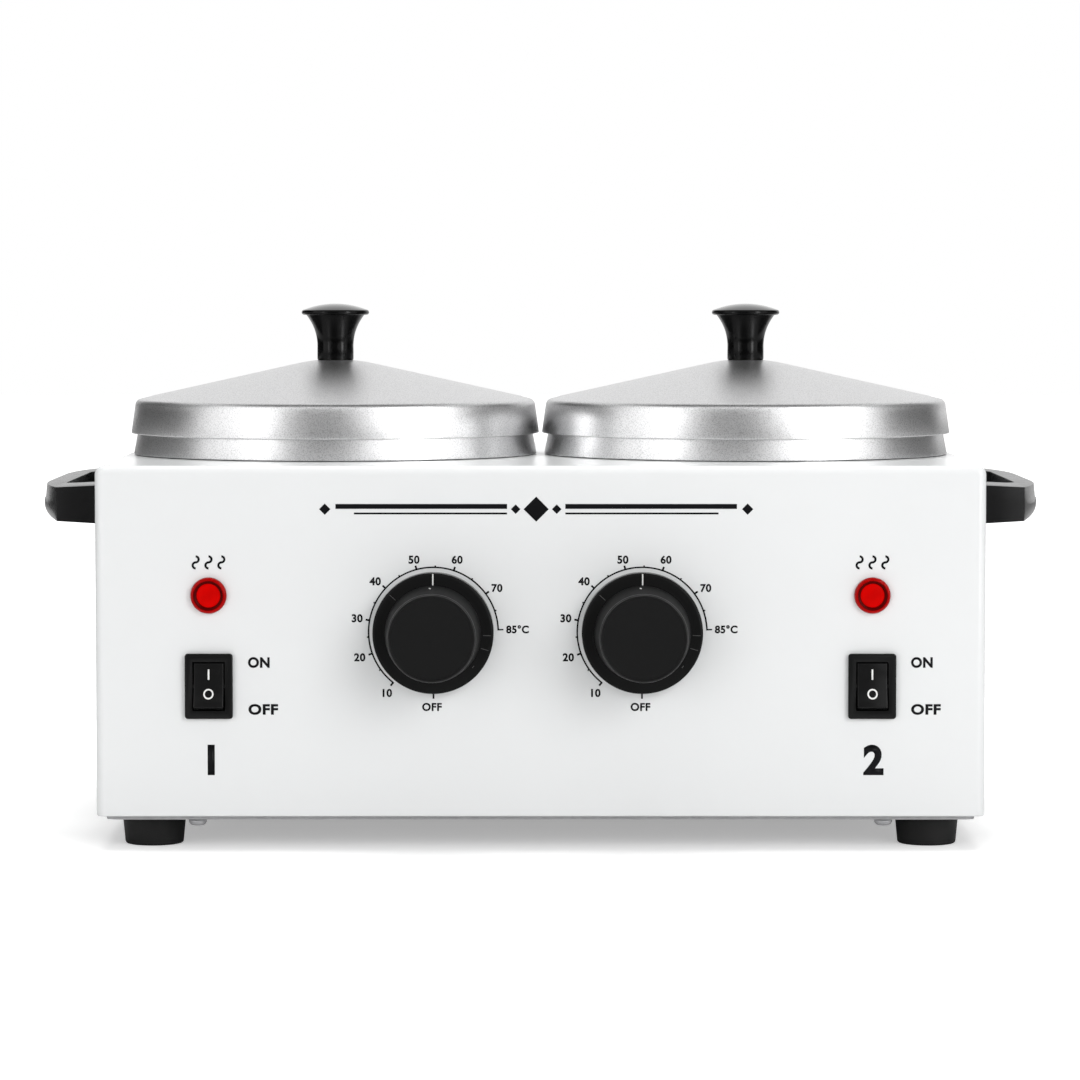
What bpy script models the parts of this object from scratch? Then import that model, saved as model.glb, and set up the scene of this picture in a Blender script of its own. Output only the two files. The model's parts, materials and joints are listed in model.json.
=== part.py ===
"""Double wax warmer: a sheet steel housing with two heated wells, lift-out pots, lids, dials and switches.

Units are metres and +Z is up. The front, with its two dials, faces -Y. The origin lies on the surface that
the feet stand on, under the middle of the whole object's box. Pieces that touch keep a gap of GAP.
"""
import math

import bmesh
import bpy
from mathutils import Matrix, Vector

# Clearances
GAP = 0.0003
POT_CLEARANCE = 0.0006
SCREW_CLEARANCE = 0.0004
TURNING_CLEARANCE = 0.0004
OVERRUN = 0.003
MERGE = 0.00001

# Housing
BODY_WIDTH = 0.2914
BODY_DEPTH = 0.205
BODY_HEIGHT = 0.115
SHEET = 0.001
FOLD_RADIUS = 0.003
LOWER_FOLD_RADIUS = 0.0017
LIP_WIDTH = 0.010
LIP_INSET = 0.0005

# Base plate and feet
BASE_SHEET = 0.001
BASE_INSET = 0.003
VENT_LENGTH = 0.030
VENT_WIDTH = 0.003
VENT_PITCH = 0.009
VENT_COUNT = 5
FOOT_HEIGHT = 0.0094
FOOT_TOP_RADIUS = 0.0105
FOOT_BOTTOM_RADIUS = 0.0096
FOOT_EDGE = 0.0016
FOOT_SIDE_SETBACK = 0.0175
FOOT_SETBACK = 0.0202
FOOT_RECESS_RADIUS = 0.0046
FOOT_RECESS_DEPTH = 0.0042
WELD_NUT_RADIUS = 0.004
WELD_NUT_HEIGHT = 0.005

# Screws: pan head radius and height, shank radius and length
FOOT_SCREW = (0.0036, 0.0022, 0.0018, 0.0105)
BASE_SCREW = (0.0030, 0.0018, 0.0014, 0.0060)
HANDLE_SCREW = (0.0038, 0.0022, 0.0018, 0.0120)
LID_SCREW = (0.0036, 0.0018, 0.0018, 0.0105)
BASE_SCREW_SETBACK = 0.033
BASE_SCREW_EDGE = 0.0058

# Pots, lids and wells, whose heights are above the housing's top
POT_SPACING = 0.143
POT_WALL = 0.0012
POT_BORE_RADIUS = 0.0605
POT_DEPTH = 0.0771
POT_FLOOR_RADIUS = 0.006
POT_RIM_HEIGHT = 0.016
POT_RIM_RADIUS = 0.0672
POT_RIM_ROUND = 0.0020
POT_SKIRT_RADIUS = 0.07015
LID_WALL = 0.0012
LID_SKIRT_RADIUS = 0.0710
LID_SHOULDER_RADIUS = 0.0694
LID_SKIRT_BOTTOM = 0.0077
LID_SKIRT_TOP = 0.0186
LID_ROUND = 0.0018
LID_SLOPE = math.tan(math.radians(13.0))
LID_CROWN_RADIUS = 0.014
WELL_WALL = 0.001
WELL_FLANGE_RADIUS = 0.0672
WELL_FLOOR_RADIUS = 0.005
WELL_ROUND = 0.0008

# Lid knob
KNOB_HEIGHT = 0.0197
KNOB_RADIUS = 0.01175
KNOB_DOME = 0.0025
KNOB_DOME_RADIUS = 0.0110
KNOB_RIM = 0.0017
KNOB_NECK_RADIUS = 0.0100
KNOB_STEM_RADIUS = 0.0063
KNOB_STEM_HEIGHT = 0.0057

# Heaters, tie rods and cut-outs under and round the wells
BAND_THICKNESS = 0.0028
BAND_HEIGHT = 0.038
BAND_DROP = 0.022
BAND_SLOT = 0.004
BAND_EAR = (0.012, 0.009, 0.030)
BAND_BOLT_RADIUS = 0.0017
TIE_ROD_RADIUS = 0.0025
TIE_NUT_RADIUS = 0.0045
TIE_NUT_HEIGHT = 0.0035
CUTOUT_OFFSET = 0.030
CUTOUT_CAP_RADIUS = 0.008
CUTOUT_CAP_HEIGHT = 0.0020
CUTOUT_CAN_RADIUS = 0.0070
CUTOUT_CAN_HEIGHT = 0.0070
CUTOUT_PRONG_RADIUS = 0.0012
CUTOUT_PRONG_LENGTH = 0.006

# Side handles
HANDLE_REACH = 0.0237
HANDLE_SETBACK = 0.0275
HANDLE_HEIGHT = 0.0113
HANDLE_DROP = 0.0139
HANDLE_BAR = 0.0077
HANDLE_ARM = 0.0300
HANDLE_FACE = 0.0148
HANDLE_CORNER_RUN = 0.0500
HANDLE_CORNER_LEAD = 0.0220
HANDLE_WINDOW_CORNER = 0.0040
HANDLE_EDGE = 0.0009
HANDLE_LOWER_ROUND = 0.0040
HANDLE_ROOT_DROP = 0.0009
HANDLE_PARTING_DROP = 0.0051
HANDLE_STEP = 0.0005
HANDLE_DRAFT = 0.0005

# Dials and thermostats, whose reaches are in front of the panel
DIAL_SPACING = 0.0682
DIAL_SHIFT = -0.0009
DIAL_UP = 0.0607
DIAL_REACH = 0.028
DIAL_SKIRT_RADIUS = 0.01975
DIAL_SKIRT_BACK = 0.0010
DIAL_SKIRT_FRONT = 0.0072
DIAL_SKIRT_ROUND = 0.0010
DIAL_HUB_RADIUS = 0.0158
DIAL_CAP_RADIUS = 0.01425
DIAL_CAP_ROUND = 0.0009
DIAL_RECESS_RADIUS = 0.0090
DIAL_RECESS_DEPTH = 0.0055
DIAL_BORE_DEPTH = 0.0200
SHAFT_RADIUS = 0.0030
SHAFT_FLAT = 0.0018
BUSH_RADIUS = 0.0049
BUSH_REACH = 0.0044
PANEL_NUT_RADIUS = 0.0076
PANEL_NUT_HEIGHT = 0.0024
THERMOSTAT_BODY = (0.032, 0.036, 0.015)
THERMOSTAT_EDGE = 0.0010
THERMOSTAT_COVER = 0.0040
THERMOSTAT_COVER_INSET = 0.0020
CAPILLARY_RADIUS = 0.0009
BULB_RADIUS = 0.0022
BULB_LENGTH = 0.034

# Rocker switches
SWITCH_X = 0.1084
SWITCH_UP = 0.0430
SWITCH_BEZEL = (0.0157, 0.0214, 0.0018)
SWITCH_BEZEL_EDGE = 0.0006
SWITCH_BODY = (0.0130, 0.0192, 0.0190)
SWITCH_TAB = (0.0060, 0.0008, 0.0070)
SWITCH_TAB_SPREAD = 0.0045
ROCKER_WIDTH = 0.0098
ROCKER_RADIUS = 0.0077
ROCKER_WAIST = 0.0012
ROCKER_VALLEY = 0.0045
ROCKER_SWING = math.radians(22)
ROCKER_BACK_ANGLE = math.radians(26)
ROCKER_PIVOT_REACH = 0.0007
ROCKER_PIN_RADIUS = 0.0009
ROCKER_PIN_LENGTH = 0.0008
ROCKER_EDGE = 0.0003

# Indicator lamps
LAMP_UP = 0.0727
LAMP_RADIUS = 0.00595
LAMP_RING_REACH = 0.0026
LAMP_RING_EDGE = 0.0008
LAMP_LENS_RADIUS = 0.00415
LAMP_LENS_SUNK = 0.0006
LAMP_LENS_CROWN = 0.0008
LAMP_BARREL_RADIUS = 0.0048
LAMP_BARREL_LENGTH = 0.020
LAMP_TAIL_RADIUS = 0.0036
LAMP_TAIL_LENGTH = 0.006
LAMP_NUT_RADIUS = 0.0080
LAMP_NUT_HEIGHT = 0.0030

# Appliance inlet and terminal block
INLET_UP = 0.026
INLET_FLANGE = (0.0310, 0.0240, 0.0024)
INLET_BODY = (0.0275, 0.0200, 0.0200)
INLET_SOCKET = (0.0240, 0.0165, 0.0150)
INLET_SOCKET_EDGE = 0.0035
INLET_PIN = (0.0020, 0.0040, 0.0130)
INLET_PIN_TAIL = 0.0065
INLET_PIN_SPREAD = 0.0070
INLET_PIN_LIFT = 0.0020
TERMINAL_BLOCK = (0.030, 0.016, 0.007)
TERMINAL_TOWER_RADIUS = 0.0038
TERMINAL_TOWER_HEIGHT = 0.006
TERMINAL_TOWER_PITCH = 0.0095
TERMINAL_SCREW_RADIUS = 0.0018

# Facets round a turn
FINE_TURN = 32
MIDDLE_TURN = 24
SMALL_TURN = 16
SCREW_TURN = 8
NUT_SIDES = 6

# Places worked out from the sizes
BODY_BOTTOM = FOOT_HEIGHT + BASE_SHEET + 2 * GAP
BODY_TOP = BODY_BOTTOM + BODY_HEIGHT
INLET_REACH = GAP + INLET_FLANGE[2]
BODY_Y = (DIAL_REACH - INLET_REACH) / 2
FRONT_Y = BODY_Y - BODY_DEPTH / 2
REAR_Y = BODY_Y + BODY_DEPTH / 2
SIDE_X = BODY_WIDTH / 2
FOOT_X = SIDE_X - FOOT_SIDE_SETBACK
BASE_SCREW_X = SIDE_X - BASE_SCREW_SETBACK
HANDLE_LENGTH = BODY_DEPTH - 2 * HANDLE_SETBACK
BASE_BOTTOM = FOOT_HEIGHT + GAP
BASE_TOP = BASE_BOTTOM + BASE_SHEET
POT_X = POT_SPACING / 2
POT_OUTER_RADIUS = POT_BORE_RADIUS + POT_WALL
POT_FLOOR_TOP = BODY_TOP - POT_DEPTH
WELL_FLANGE_TOP = BODY_TOP + GAP + WELL_WALL
WELL_BORE_RADIUS = POT_OUTER_RADIUS + POT_CLEARANCE
WELL_OUTER_RADIUS = WELL_BORE_RADIUS + WELL_WALL
WELL_FLOOR_TOP = POT_FLOOR_TOP - POT_WALL - GAP
WELL_FLOOR_BOTTOM = WELL_FLOOR_TOP - WELL_WALL
LID_CONE_RISE = LID_SLOPE * (LID_SHOULDER_RADIUS - LID_CROWN_RADIUS / 2)
LID_TOP = BODY_TOP + LID_SKIRT_TOP + LID_CONE_RISE
HANDLE_Z = BODY_TOP - HANDLE_DROP
DIAL_Z = BODY_BOTTOM + DIAL_UP
SWITCH_Z = BODY_BOTTOM + SWITCH_UP
LAMP_Z = BODY_BOTTOM + LAMP_UP
INLET_Z = BODY_BOTTOM + INLET_UP
FOOT_Y_SPREAD = BODY_DEPTH / 2 - FOOT_SETBACK
PANEL_BACK_Y = FRONT_Y + SHEET + GAP
SIDES = (("left", -1), ("right", 1))
CORNERS = tuple((f"{end}_{side}", sign, way) for end, way in (("front", -1), ("rear", 1))
                for side, sign in SIDES)

# Turns that point a piece's own +Z another way
UPRIGHT = (0, 0, 0)
DOWNWARD = (math.pi, 0, 0)
FORWARD = (math.pi / 2, 0, 0)
BACKWARD = (-math.pi / 2, 0, 0)
RIGHTWARD = (0, math.pi / 2, 0)
LEFTWARD = (0, -math.pi / 2, 0)

# Colour, roughness and metallic value of each finish
FINISHES = {
    "white enamel": ((0.80, 0.81, 0.81), 0.22, 0.0),
    "spun aluminium": ((0.78, 0.78, 0.77), 0.30, 1.0),
    "zinc plate": ((0.62, 0.63, 0.62), 0.35, 1.0),
    "black plastic": ((0.012, 0.012, 0.013), 0.35, 0.0),
    "gloss black": ((0.010, 0.010, 0.011), 0.08, 0.0),
    "black rubber": ((0.015, 0.015, 0.015), 0.75, 0.0),
    "red lens": ((0.75, 0.02, 0.02), 0.12, 0.0),
    "mica band": ((0.45, 0.42, 0.36), 0.45, 0.6),
    "copper": ((0.80, 0.42, 0.27), 0.30, 1.0),
    "brass": ((0.80, 0.62, 0.30), 0.30, 1.0),
    "ceramic": ((0.82, 0.80, 0.74), 0.50, 0.0),
}


def new_collection(name):
    """Return a collection of that name, new and linked to the scene."""
    collection = bpy.data.collections.new(name)
    bpy.context.scene.collection.children.link(collection)
    return collection


def new_part(name, mesh, finish, location=(0, 0, 0), turn=UPRIGHT):
    """Link a mesh as a named part with its own material."""
    part = bpy.data.objects.new(name, mesh)
    part.location = location
    part.rotation_euler = turn
    colour, roughness, metallic = FINISHES[finish]
    material = bpy.data.materials.new(f"{name} {finish}")
    material.use_nodes = True
    shader = material.node_tree.nodes["Principled BSDF"]
    shader.inputs["Base Color"].default_value = (*colour, 1.0)
    shader.inputs["Roughness"].default_value = roughness
    shader.inputs["Metallic"].default_value = metallic
    mesh.materials.append(material)
    PARTS.objects.link(part)
    return part


def new_tool(name, mesh, location=(0, 0, 0), turn=UPRIGHT):
    """Link a mesh that only cuts a part or is joined to one."""
    tool = bpy.data.objects.new(name, mesh)
    tool.location = location
    tool.rotation_euler = turn
    tool.display_type = "WIRE"
    tool.hide_render = True
    CUTTERS.objects.link(tool)
    return tool


def mesh_from(bm, name):
    """Turn a bmesh into a mesh and free it."""
    mesh = bpy.data.meshes.new(name)
    bm.to_mesh(mesh)
    bm.free()
    return mesh


def box_mesh(name, size, rounded_edges=(), radius=0.0, segments=2):
    """A box of that size about its centre, with the edges along the named axes rounded."""
    bm = bmesh.new()
    bmesh.ops.create_cube(bm, size=1.0)
    bmesh.ops.scale(bm, vec=size, verts=bm.verts)
    edges = [edge for edge in bm.edges if main_axis(edge) in rounded_edges]
    if edges:
        bmesh.ops.bevel(bm, geom=edges, offset=radius, segments=segments, profile=0.5, affect="EDGES")
    return mesh_from(bm, name)


def main_axis(edge):
    """Name the axis that an edge runs along."""
    run = edge.verts[1].co - edge.verts[0].co
    return "XYZ"[max(range(3), key=lambda axis: abs(run[axis]))]


def cylinder_mesh(name, radius, length, segments):
    """A cylinder about its own Z, standing on its own origin."""
    bm = bmesh.new()
    lift = Matrix.Translation((0, 0, length / 2))
    bmesh.ops.create_cone(bm, cap_ends=True, segments=segments, radius1=radius, radius2=radius,
                          depth=length, matrix=lift)
    return mesh_from(bm, name)


def d_rod_mesh(name, radius, flat, length, segments):
    """A round rod with one flat side, at that distance from its axis."""
    bm = bmesh.new()
    lift = Matrix.Translation((0, 0, length / 2))
    bmesh.ops.create_cone(bm, cap_ends=True, segments=segments, radius1=radius, radius2=radius,
                          depth=length, matrix=lift)
    cut_edge = bmesh.ops.bisect_plane(bm, geom=bm.verts[:] + bm.edges[:] + bm.faces[:],
                                      plane_co=(0, flat, 0), plane_no=(0, 1, 0), clear_outer=True)
    bmesh.ops.holes_fill(bm, edges=[item for item in cut_edge["geom_cut"]
                                    if isinstance(item, bmesh.types.BMEdge)])
    return mesh_from(bm, name)


def add_boolean(part, tool, operation):
    """Cut a tool from a part, or join it on, with the exact solver."""
    boolean = part.modifiers.new(f"{operation} {tool.name}", "BOOLEAN")
    boolean.operation = operation
    boolean.object = tool
    boolean.solver = "EXACT"


def cut(part, *tools):
    """Cut each tool from a part."""
    for tool in tools:
        add_boolean(part, tool, "DIFFERENCE")


def join(part, *tools):
    """Join each tool to a part."""
    for tool in tools:
        add_boolean(part, tool, "UNION")


def soften(part, width, segments=2):
    """Round the sharp edges of a part."""
    bevel = part.modifiers.new("Soft edges", "BEVEL")
    bevel.width = width
    bevel.segments = segments
    bevel.limit_method = "ANGLE"
    bevel.angle_limit = math.radians(50)


def round_hole(name, radius, location, turn, length, segments=SMALL_TURN):
    """A round cutter whose length lies evenly on both sides of its place."""
    bm = bmesh.new()
    bmesh.ops.create_cone(bm, cap_ends=True, segments=segments, radius1=radius, radius2=radius, depth=length)
    return new_tool(name, mesh_from(bm, name), location, turn)


def box_hole(name, size, location, rounded_edges=(), radius=0.0):
    """A box cutter about its place."""
    return new_tool(name, box_mesh(name, size, rounded_edges, radius), location)


def rounded(corners, steps=2):
    """Follow corners (x, z, setback), with a short curve in place of each that has a setback."""
    points = []
    last = len(corners) - 1
    for index, (x, z, setback) in enumerate(corners):
        corner = Vector((x, z))
        if not setback or index in (0, last):
            points.append(corner)
            continue
        before = (Vector(corners[index - 1][:2]) - corner).normalized() * setback
        after = (Vector(corners[index + 1][:2]) - corner).normalized() * setback
        for step in range(steps + 1):
            share = step / steps
            points.append(corner + before * (1 - share) ** 2 + after * share ** 2)
    return points


def arc(centre, radii, start, end, steps):
    """Points along an ellipse's arc, by angle in degrees from its own +X."""
    angles = [math.radians(start + (end - start) * step / steps) for step in range(steps + 1)]
    return [Vector((centre[0] + radii[0] * math.cos(angle), centre[1] + radii[1] * math.sin(angle)))
            for angle in angles]


def turned_mesh(name, profile, closed=False):
    """A profile of (radius, height) points in the plane of X and Z."""
    count = len(profile)
    edges = [(index, index + 1) for index in range(count - 1)]
    if closed:
        edges.append((count - 1, 0))
    mesh = bpy.data.meshes.new(name)
    mesh.from_pydata([(radius, 0, height) for radius, height in profile], edges, [])
    return mesh


def turn_on_axis(part, segments, wall=0.0):
    """Turn a profile about its own Z, and thicken it behind its outer face when it is a sheet."""
    screw = part.modifiers.new("Turn", "SCREW")
    screw.axis = "Z"
    screw.angle = math.tau
    screw.steps = segments
    screw.render_steps = segments
    screw.use_merge_vertices = True
    screw.merge_threshold = MERGE
    if wall:
        sheet = part.modifiers.new("Sheet", "SOLIDIFY")
        sheet.thickness = wall
        sheet.offset = -1
        sheet.use_even_offset = True
    return part


def turned(name, profile, finish, segments, location, turn=UPRIGHT, wall=0.0, closed=False):
    """A turned part: a solid between points on the axis, or a sheet with a wall."""
    part = new_part(name, turned_mesh(name, profile, closed), finish, location, turn)
    return turn_on_axis(part, segments, wall)


def pan_screw(name, sizes, finish, location, turn):
    """A pan-head screw whose shank runs down its own -Z from the seat of its head."""
    head_radius, head_height, shank_radius, shank_length = sizes
    crown = arc((0, 0), (head_radius, head_height), 90, 0, 2)
    profile = crown + [Vector((shank_radius, 0)), Vector((shank_radius, -shank_length)),
                       Vector((0, -shank_length))]
    return turned(name, profile, finish, SCREW_TURN, location, turn)


def hex_nut(name, radius, height, bore_radius, finish, location, turn):
    """A six-sided nut that stands on its own origin."""
    part = new_part(name, cylinder_mesh(name, radius, height, NUT_SIDES), finish, location, turn)
    bore = round_hole(f"{name}_bore", bore_radius, location, turn, 2 * height + 2 * OVERRUN)
    cut(part, bore)
    return part


def flat_mesh(name, outline, thickness):
    """A flat outline, extruded evenly on both sides of its plane and welded."""
    curve = bpy.data.curves.new(name, "CURVE")
    curve.dimensions = "2D"
    curve.fill_mode = "BOTH"
    curve.extrude = thickness / 2
    spline = curve.splines.new("POLY")
    spline.points.add(len(outline) - 1)
    for point, (x, y) in zip(spline.points, outline):
        point.co = (x, y, 0, 1)
    spline.use_cyclic_u = True
    return welded_mesh(name, curve)


def welded_mesh(name, curve):
    """Make a curve a mesh, weld its caps and remove the curve."""
    holder = bpy.data.objects.new(name, curve)
    bpy.context.scene.collection.objects.link(holder)
    bpy.context.view_layer.update()
    evaluated = holder.evaluated_get(bpy.context.evaluated_depsgraph_get())
    bm = bmesh.new()
    bm.from_mesh(bpy.data.meshes.new_from_object(evaluated))
    bmesh.ops.remove_doubles(bm, verts=bm.verts, dist=MERGE)
    bmesh.ops.recalc_face_normals(bm, faces=bm.faces)
    bpy.data.objects.remove(holder)
    bpy.data.curves.remove(curve)
    return mesh_from(bm, name)


def smooth_route(places, steps):
    """Points on a smooth curve through the places."""
    ends = [places[0] * 2 - places[1]] + places + [places[-1] * 2 - places[-2]]
    points = []
    for before, start, end, after in zip(ends, ends[1:], ends[2:], ends[3:]):
        for step in range(steps):
            share = step / steps
            points.append(0.5 * (2 * start + (end - before) * share
                                 + (2 * before - 5 * start + 4 * end - after) * share ** 2
                                 + (3 * start - before - 3 * end + after) * share ** 3))
    points.append(places[-1])
    return points


def folded_cover_mesh():
    """Five sides of a box with rounded folds, and four flaps turned in along its lower edge."""
    bm = bmesh.new()
    bmesh.ops.create_cube(bm, size=1.0)
    bmesh.ops.scale(bm, vec=(BODY_WIDTH, BODY_DEPTH, BODY_HEIGHT), verts=bm.verts)
    floor = min(bm.faces, key=lambda face: face.calc_center_median().z)
    folds = [edge for edge in bm.edges if edge not in floor.edges[:]]
    bmesh.ops.delete(bm, geom=[floor], context="FACES_ONLY")
    bmesh.ops.bevel(bm, geom=folds, offset=FOLD_RADIUS, segments=3, profile=0.5, affect="EDGES")
    for edge in [edge for edge in bm.edges if edge.is_boundary and edge.calc_length() > 2 * FOLD_RADIUS]:
        turn_in_flap(bm, edge)
    return mesh_from(bm, "housing_shell")


def turn_in_flap(bm, edge):
    """Extrude one straight lower edge round a fold and inwards, with mitred ends."""
    middle = (edge.verts[0].co + edge.verts[1].co) / 2
    inward = Vector((-middle.x, -middle.y, 0)).normalized()
    bend = LOWER_FOLD_RADIUS * math.sin(math.radians(45))
    rest = LOWER_FOLD_RADIUS - bend
    flat = LIP_WIDTH - LOWER_FOLD_RADIUS
    for vert in edge.verts:
        vert.co.z += LOWER_FOLD_RADIUS
    for inner, drop, mitre in ((rest, bend, LIP_INSET), (bend, rest, 0), (flat, 0, flat)):
        made = bmesh.ops.extrude_edge_only(bm, edges=[edge])["geom"]
        verts = [item for item in made if isinstance(item, bmesh.types.BMVert)]
        edge = next(item for item in made if isinstance(item, bmesh.types.BMEdge)
                    and all(vert in verts for vert in item.verts))
        for vert in verts:
            along = middle - vert.co
            along = Vector((along.x, along.y, 0))
            along -= inward * along.dot(inward)
            vert.co += inward * inner - Vector((0, 0, drop)) + along.normalized() * mitre


def housing_shell():
    """White folded cover with its wells', dials', switches', lamps' and screws' holes."""
    centre = (0, BODY_Y, BODY_BOTTOM + BODY_HEIGHT / 2)
    part = new_part("housing_shell", folded_cover_mesh(), "white enamel", centre)
    sheet = part.modifiers.new("Sheet", "SOLIDIFY")
    sheet.thickness = SHEET
    sheet.offset = -1
    sheet.use_even_offset = True
    through = 2 * (SHEET + OVERRUN)
    for side, sign in SIDES:
        cut(part,
            round_hole(f"{side}_well_hole", WELL_OUTER_RADIUS + GAP, (sign * POT_X, BODY_Y, BODY_TOP),
                       UPRIGHT, through, FINE_TURN),
            round_hole(f"{side}_bush_hole", BUSH_RADIUS + GAP, (dial_x(sign), FRONT_Y, DIAL_Z),
                       FORWARD, through),
            round_hole(f"{side}_lamp_hole", LAMP_BARREL_RADIUS + GAP, (sign * SWITCH_X, FRONT_Y, LAMP_Z),
                       FORWARD, through),
            box_hole(f"{side}_switch_hole",
                     (SWITCH_BODY[0] + 2 * GAP, through, SWITCH_BODY[1] + 2 * GAP),
                     (sign * SWITCH_X, FRONT_Y, SWITCH_Z)))
        for end, way in (("front", -1), ("rear", 1)):
            cut(part, round_hole(f"{end}_{side}_handle_screw_hole", HANDLE_SCREW[2] + SCREW_CLEARANCE,
                                 (sign * SIDE_X, handle_screw_y(way), HANDLE_Z), RIGHTWARD, through))
    cut(part, box_hole("inlet_hole", (INLET_BODY[0] + 2 * GAP, through, INLET_BODY[1] + 2 * GAP),
                       (0, REAR_Y, INLET_Z)))
    for corner, sign, way in CORNERS:
        cut(part, round_hole(f"{corner}_lip_hole", BASE_SCREW[2] + SCREW_CLEARANCE,
                             base_screw_place(sign, way, BODY_BOTTOM), UPRIGHT, through, SCREW_TURN))


def dial_x(sign):
    """Where a dial lies along X; the pair sits a little to one side of the panel's middle."""
    return DIAL_SHIFT + sign * DIAL_SPACING / 2


def handle_screw_y(way):
    """Where a handle's screw lies along Y, in the middle of its arm."""
    return BODY_Y + way * (HANDLE_LENGTH - HANDLE_ARM) / 2


def base_screw_place(sign, way, height):
    """A base screw's axis, in the middle of the turned-in flap."""
    return (sign * BASE_SCREW_X, BODY_Y + way * (BODY_DEPTH / 2 - BASE_SCREW_EDGE), height)


def foot_place(sign, way, height):
    """A foot's axis."""
    return (sign * FOOT_X, BODY_Y + way * FOOT_Y_SPREAD, height)


def base_plate():
    """Flat plate under the flaps, with weld nuts for the feet, and vent slots under each well."""
    size = (BODY_WIDTH - 2 * BASE_INSET, BODY_DEPTH - 2 * BASE_INSET, BASE_SHEET)
    mesh = box_mesh("base_plate", size, "Z", FOLD_RADIUS)
    part = new_part("base_plate", mesh, "zinc plate", (0, BODY_Y, BASE_BOTTOM + BASE_SHEET / 2))
    through = 2 * (BASE_SHEET + WELD_NUT_HEIGHT + OVERRUN)
    middle = BASE_TOP - BASE_SHEET / 2
    for corner, sign, way in CORNERS:
        boss = cylinder_mesh(f"{corner}_weld_nut", WELD_NUT_RADIUS, WELD_NUT_HEIGHT + BASE_SHEET / 2,
                             SMALL_TURN)
        join(part, new_tool(f"{corner}_weld_nut", boss, foot_place(sign, way, middle)))
        cut(part,
            round_hole(f"{corner}_weld_nut_bore", FOOT_SCREW[2] + SCREW_CLEARANCE,
                       foot_place(sign, way, middle), UPRIGHT, through, SCREW_TURN),
            round_hole(f"{corner}_base_screw_hole", BASE_SCREW[2] + SCREW_CLEARANCE,
                       base_screw_place(sign, way, middle), UPRIGHT, through, SCREW_TURN))
    for side, sign in SIDES:
        cut(part, round_hole(f"{side}_tie_rod_hole", TIE_ROD_RADIUS + GAP, (sign * POT_X, BODY_Y, middle),
                             UPRIGHT, through, SCREW_TURN))
        for row in range(VENT_COUNT):
            y = BODY_Y + (row - (VENT_COUNT - 1) / 2) * VENT_PITCH
            for half, way in SIDES:
                x = sign * POT_X + way * (VENT_LENGTH + VENT_PITCH) / 2
                cut(part, box_hole(f"{side}_{half}_vent_{row}", (VENT_LENGTH, VENT_WIDTH, through),
                                   (x, y, middle)))


def feet():
    """Tapered rubber feet, each with a recess for its screw."""
    for corner, sign, way in CORNERS:
        bore = FOOT_SCREW[2] + SCREW_CLEARANCE
        profile = rounded([(bore, FOOT_HEIGHT, 0), (FOOT_TOP_RADIUS, FOOT_HEIGHT, 0),
                           (FOOT_BOTTOM_RADIUS, 0, FOOT_EDGE), (FOOT_RECESS_RADIUS, 0, 0),
                           (FOOT_RECESS_RADIUS, FOOT_RECESS_DEPTH, 0), (bore, FOOT_RECESS_DEPTH, 0)])
        turned(f"{corner}_foot", profile, "black rubber", SMALL_TURN, foot_place(sign, way, 0), closed=True)
        pan_screw(f"{corner}_foot_screw", FOOT_SCREW, "zinc plate",
                  foot_place(sign, way, FOOT_RECESS_DEPTH - GAP), DOWNWARD)
        pan_screw(f"{corner}_base_screw", BASE_SCREW, "zinc plate",
                  base_screw_place(sign, way, BASE_BOTTOM - GAP), DOWNWARD)


def wells():
    """Spun wells that hang by their flanges, each with its band heater, tie rod and thermal cut-out."""
    for side, sign in SIDES:
        axis = (sign * POT_X, BODY_Y, 0)
        profile = rounded([(0, WELL_FLOOR_TOP, 0), (WELL_BORE_RADIUS, WELL_FLOOR_TOP, WELL_FLOOR_RADIUS),
                           (WELL_BORE_RADIUS, WELL_FLANGE_TOP, WELL_ROUND),
                           (WELL_FLANGE_RADIUS, WELL_FLANGE_TOP, 0)], 1)
        turned(f"{side}_well", profile, "spun aluminium", FINE_TURN, axis, wall=WELL_WALL)
        band_heater(side, sign)
        tie_rod(side, axis)
        thermal_cutout(side, sign)


def band_heater(side, sign):
    """A mica band clamped round the well by a bolt through its two ears."""
    inner = WELL_OUTER_RADIUS + GAP
    outer = inner + BAND_THICKNESS
    top = BODY_TOP - BAND_DROP
    bottom = top - BAND_HEIGHT
    profile = [Vector((inner, top)), Vector((outer, top)), Vector((outer, bottom)), Vector((inner, bottom))]
    part = turned(f"{side}_band_heater", profile, "mica band", FINE_TURN, (sign * POT_X, BODY_Y, 0),
                  closed=True)
    ear_y = BODY_Y + inner + BAND_THICKNESS / 2 + BAND_EAR[1] / 2
    ear_z = (top + bottom) / 2
    ears = new_tool(f"{side}_band_ears", box_mesh("ears", BAND_EAR), (sign * POT_X, ear_y, ear_z))
    join(part, ears)
    slot = (BAND_SLOT, 2 * BAND_EAR[1] + 2 * BAND_THICKNESS, BAND_HEIGHT + 2 * OVERRUN)
    cut(part, box_hole(f"{side}_band_slot", slot, (sign * POT_X, ear_y, ear_z)))
    bolt = cylinder_mesh("bolt", BAND_BOLT_RADIUS, BAND_EAR[0] + 2 * BAND_BOLT_RADIUS, SCREW_TURN)
    bolt_x = sign * POT_X - BAND_EAR[0] / 2 - BAND_BOLT_RADIUS
    join(part, new_tool(f"{side}_band_bolt", bolt, (bolt_x, ear_y + BAND_BOLT_RADIUS, ear_z), RIGHTWARD))


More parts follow.
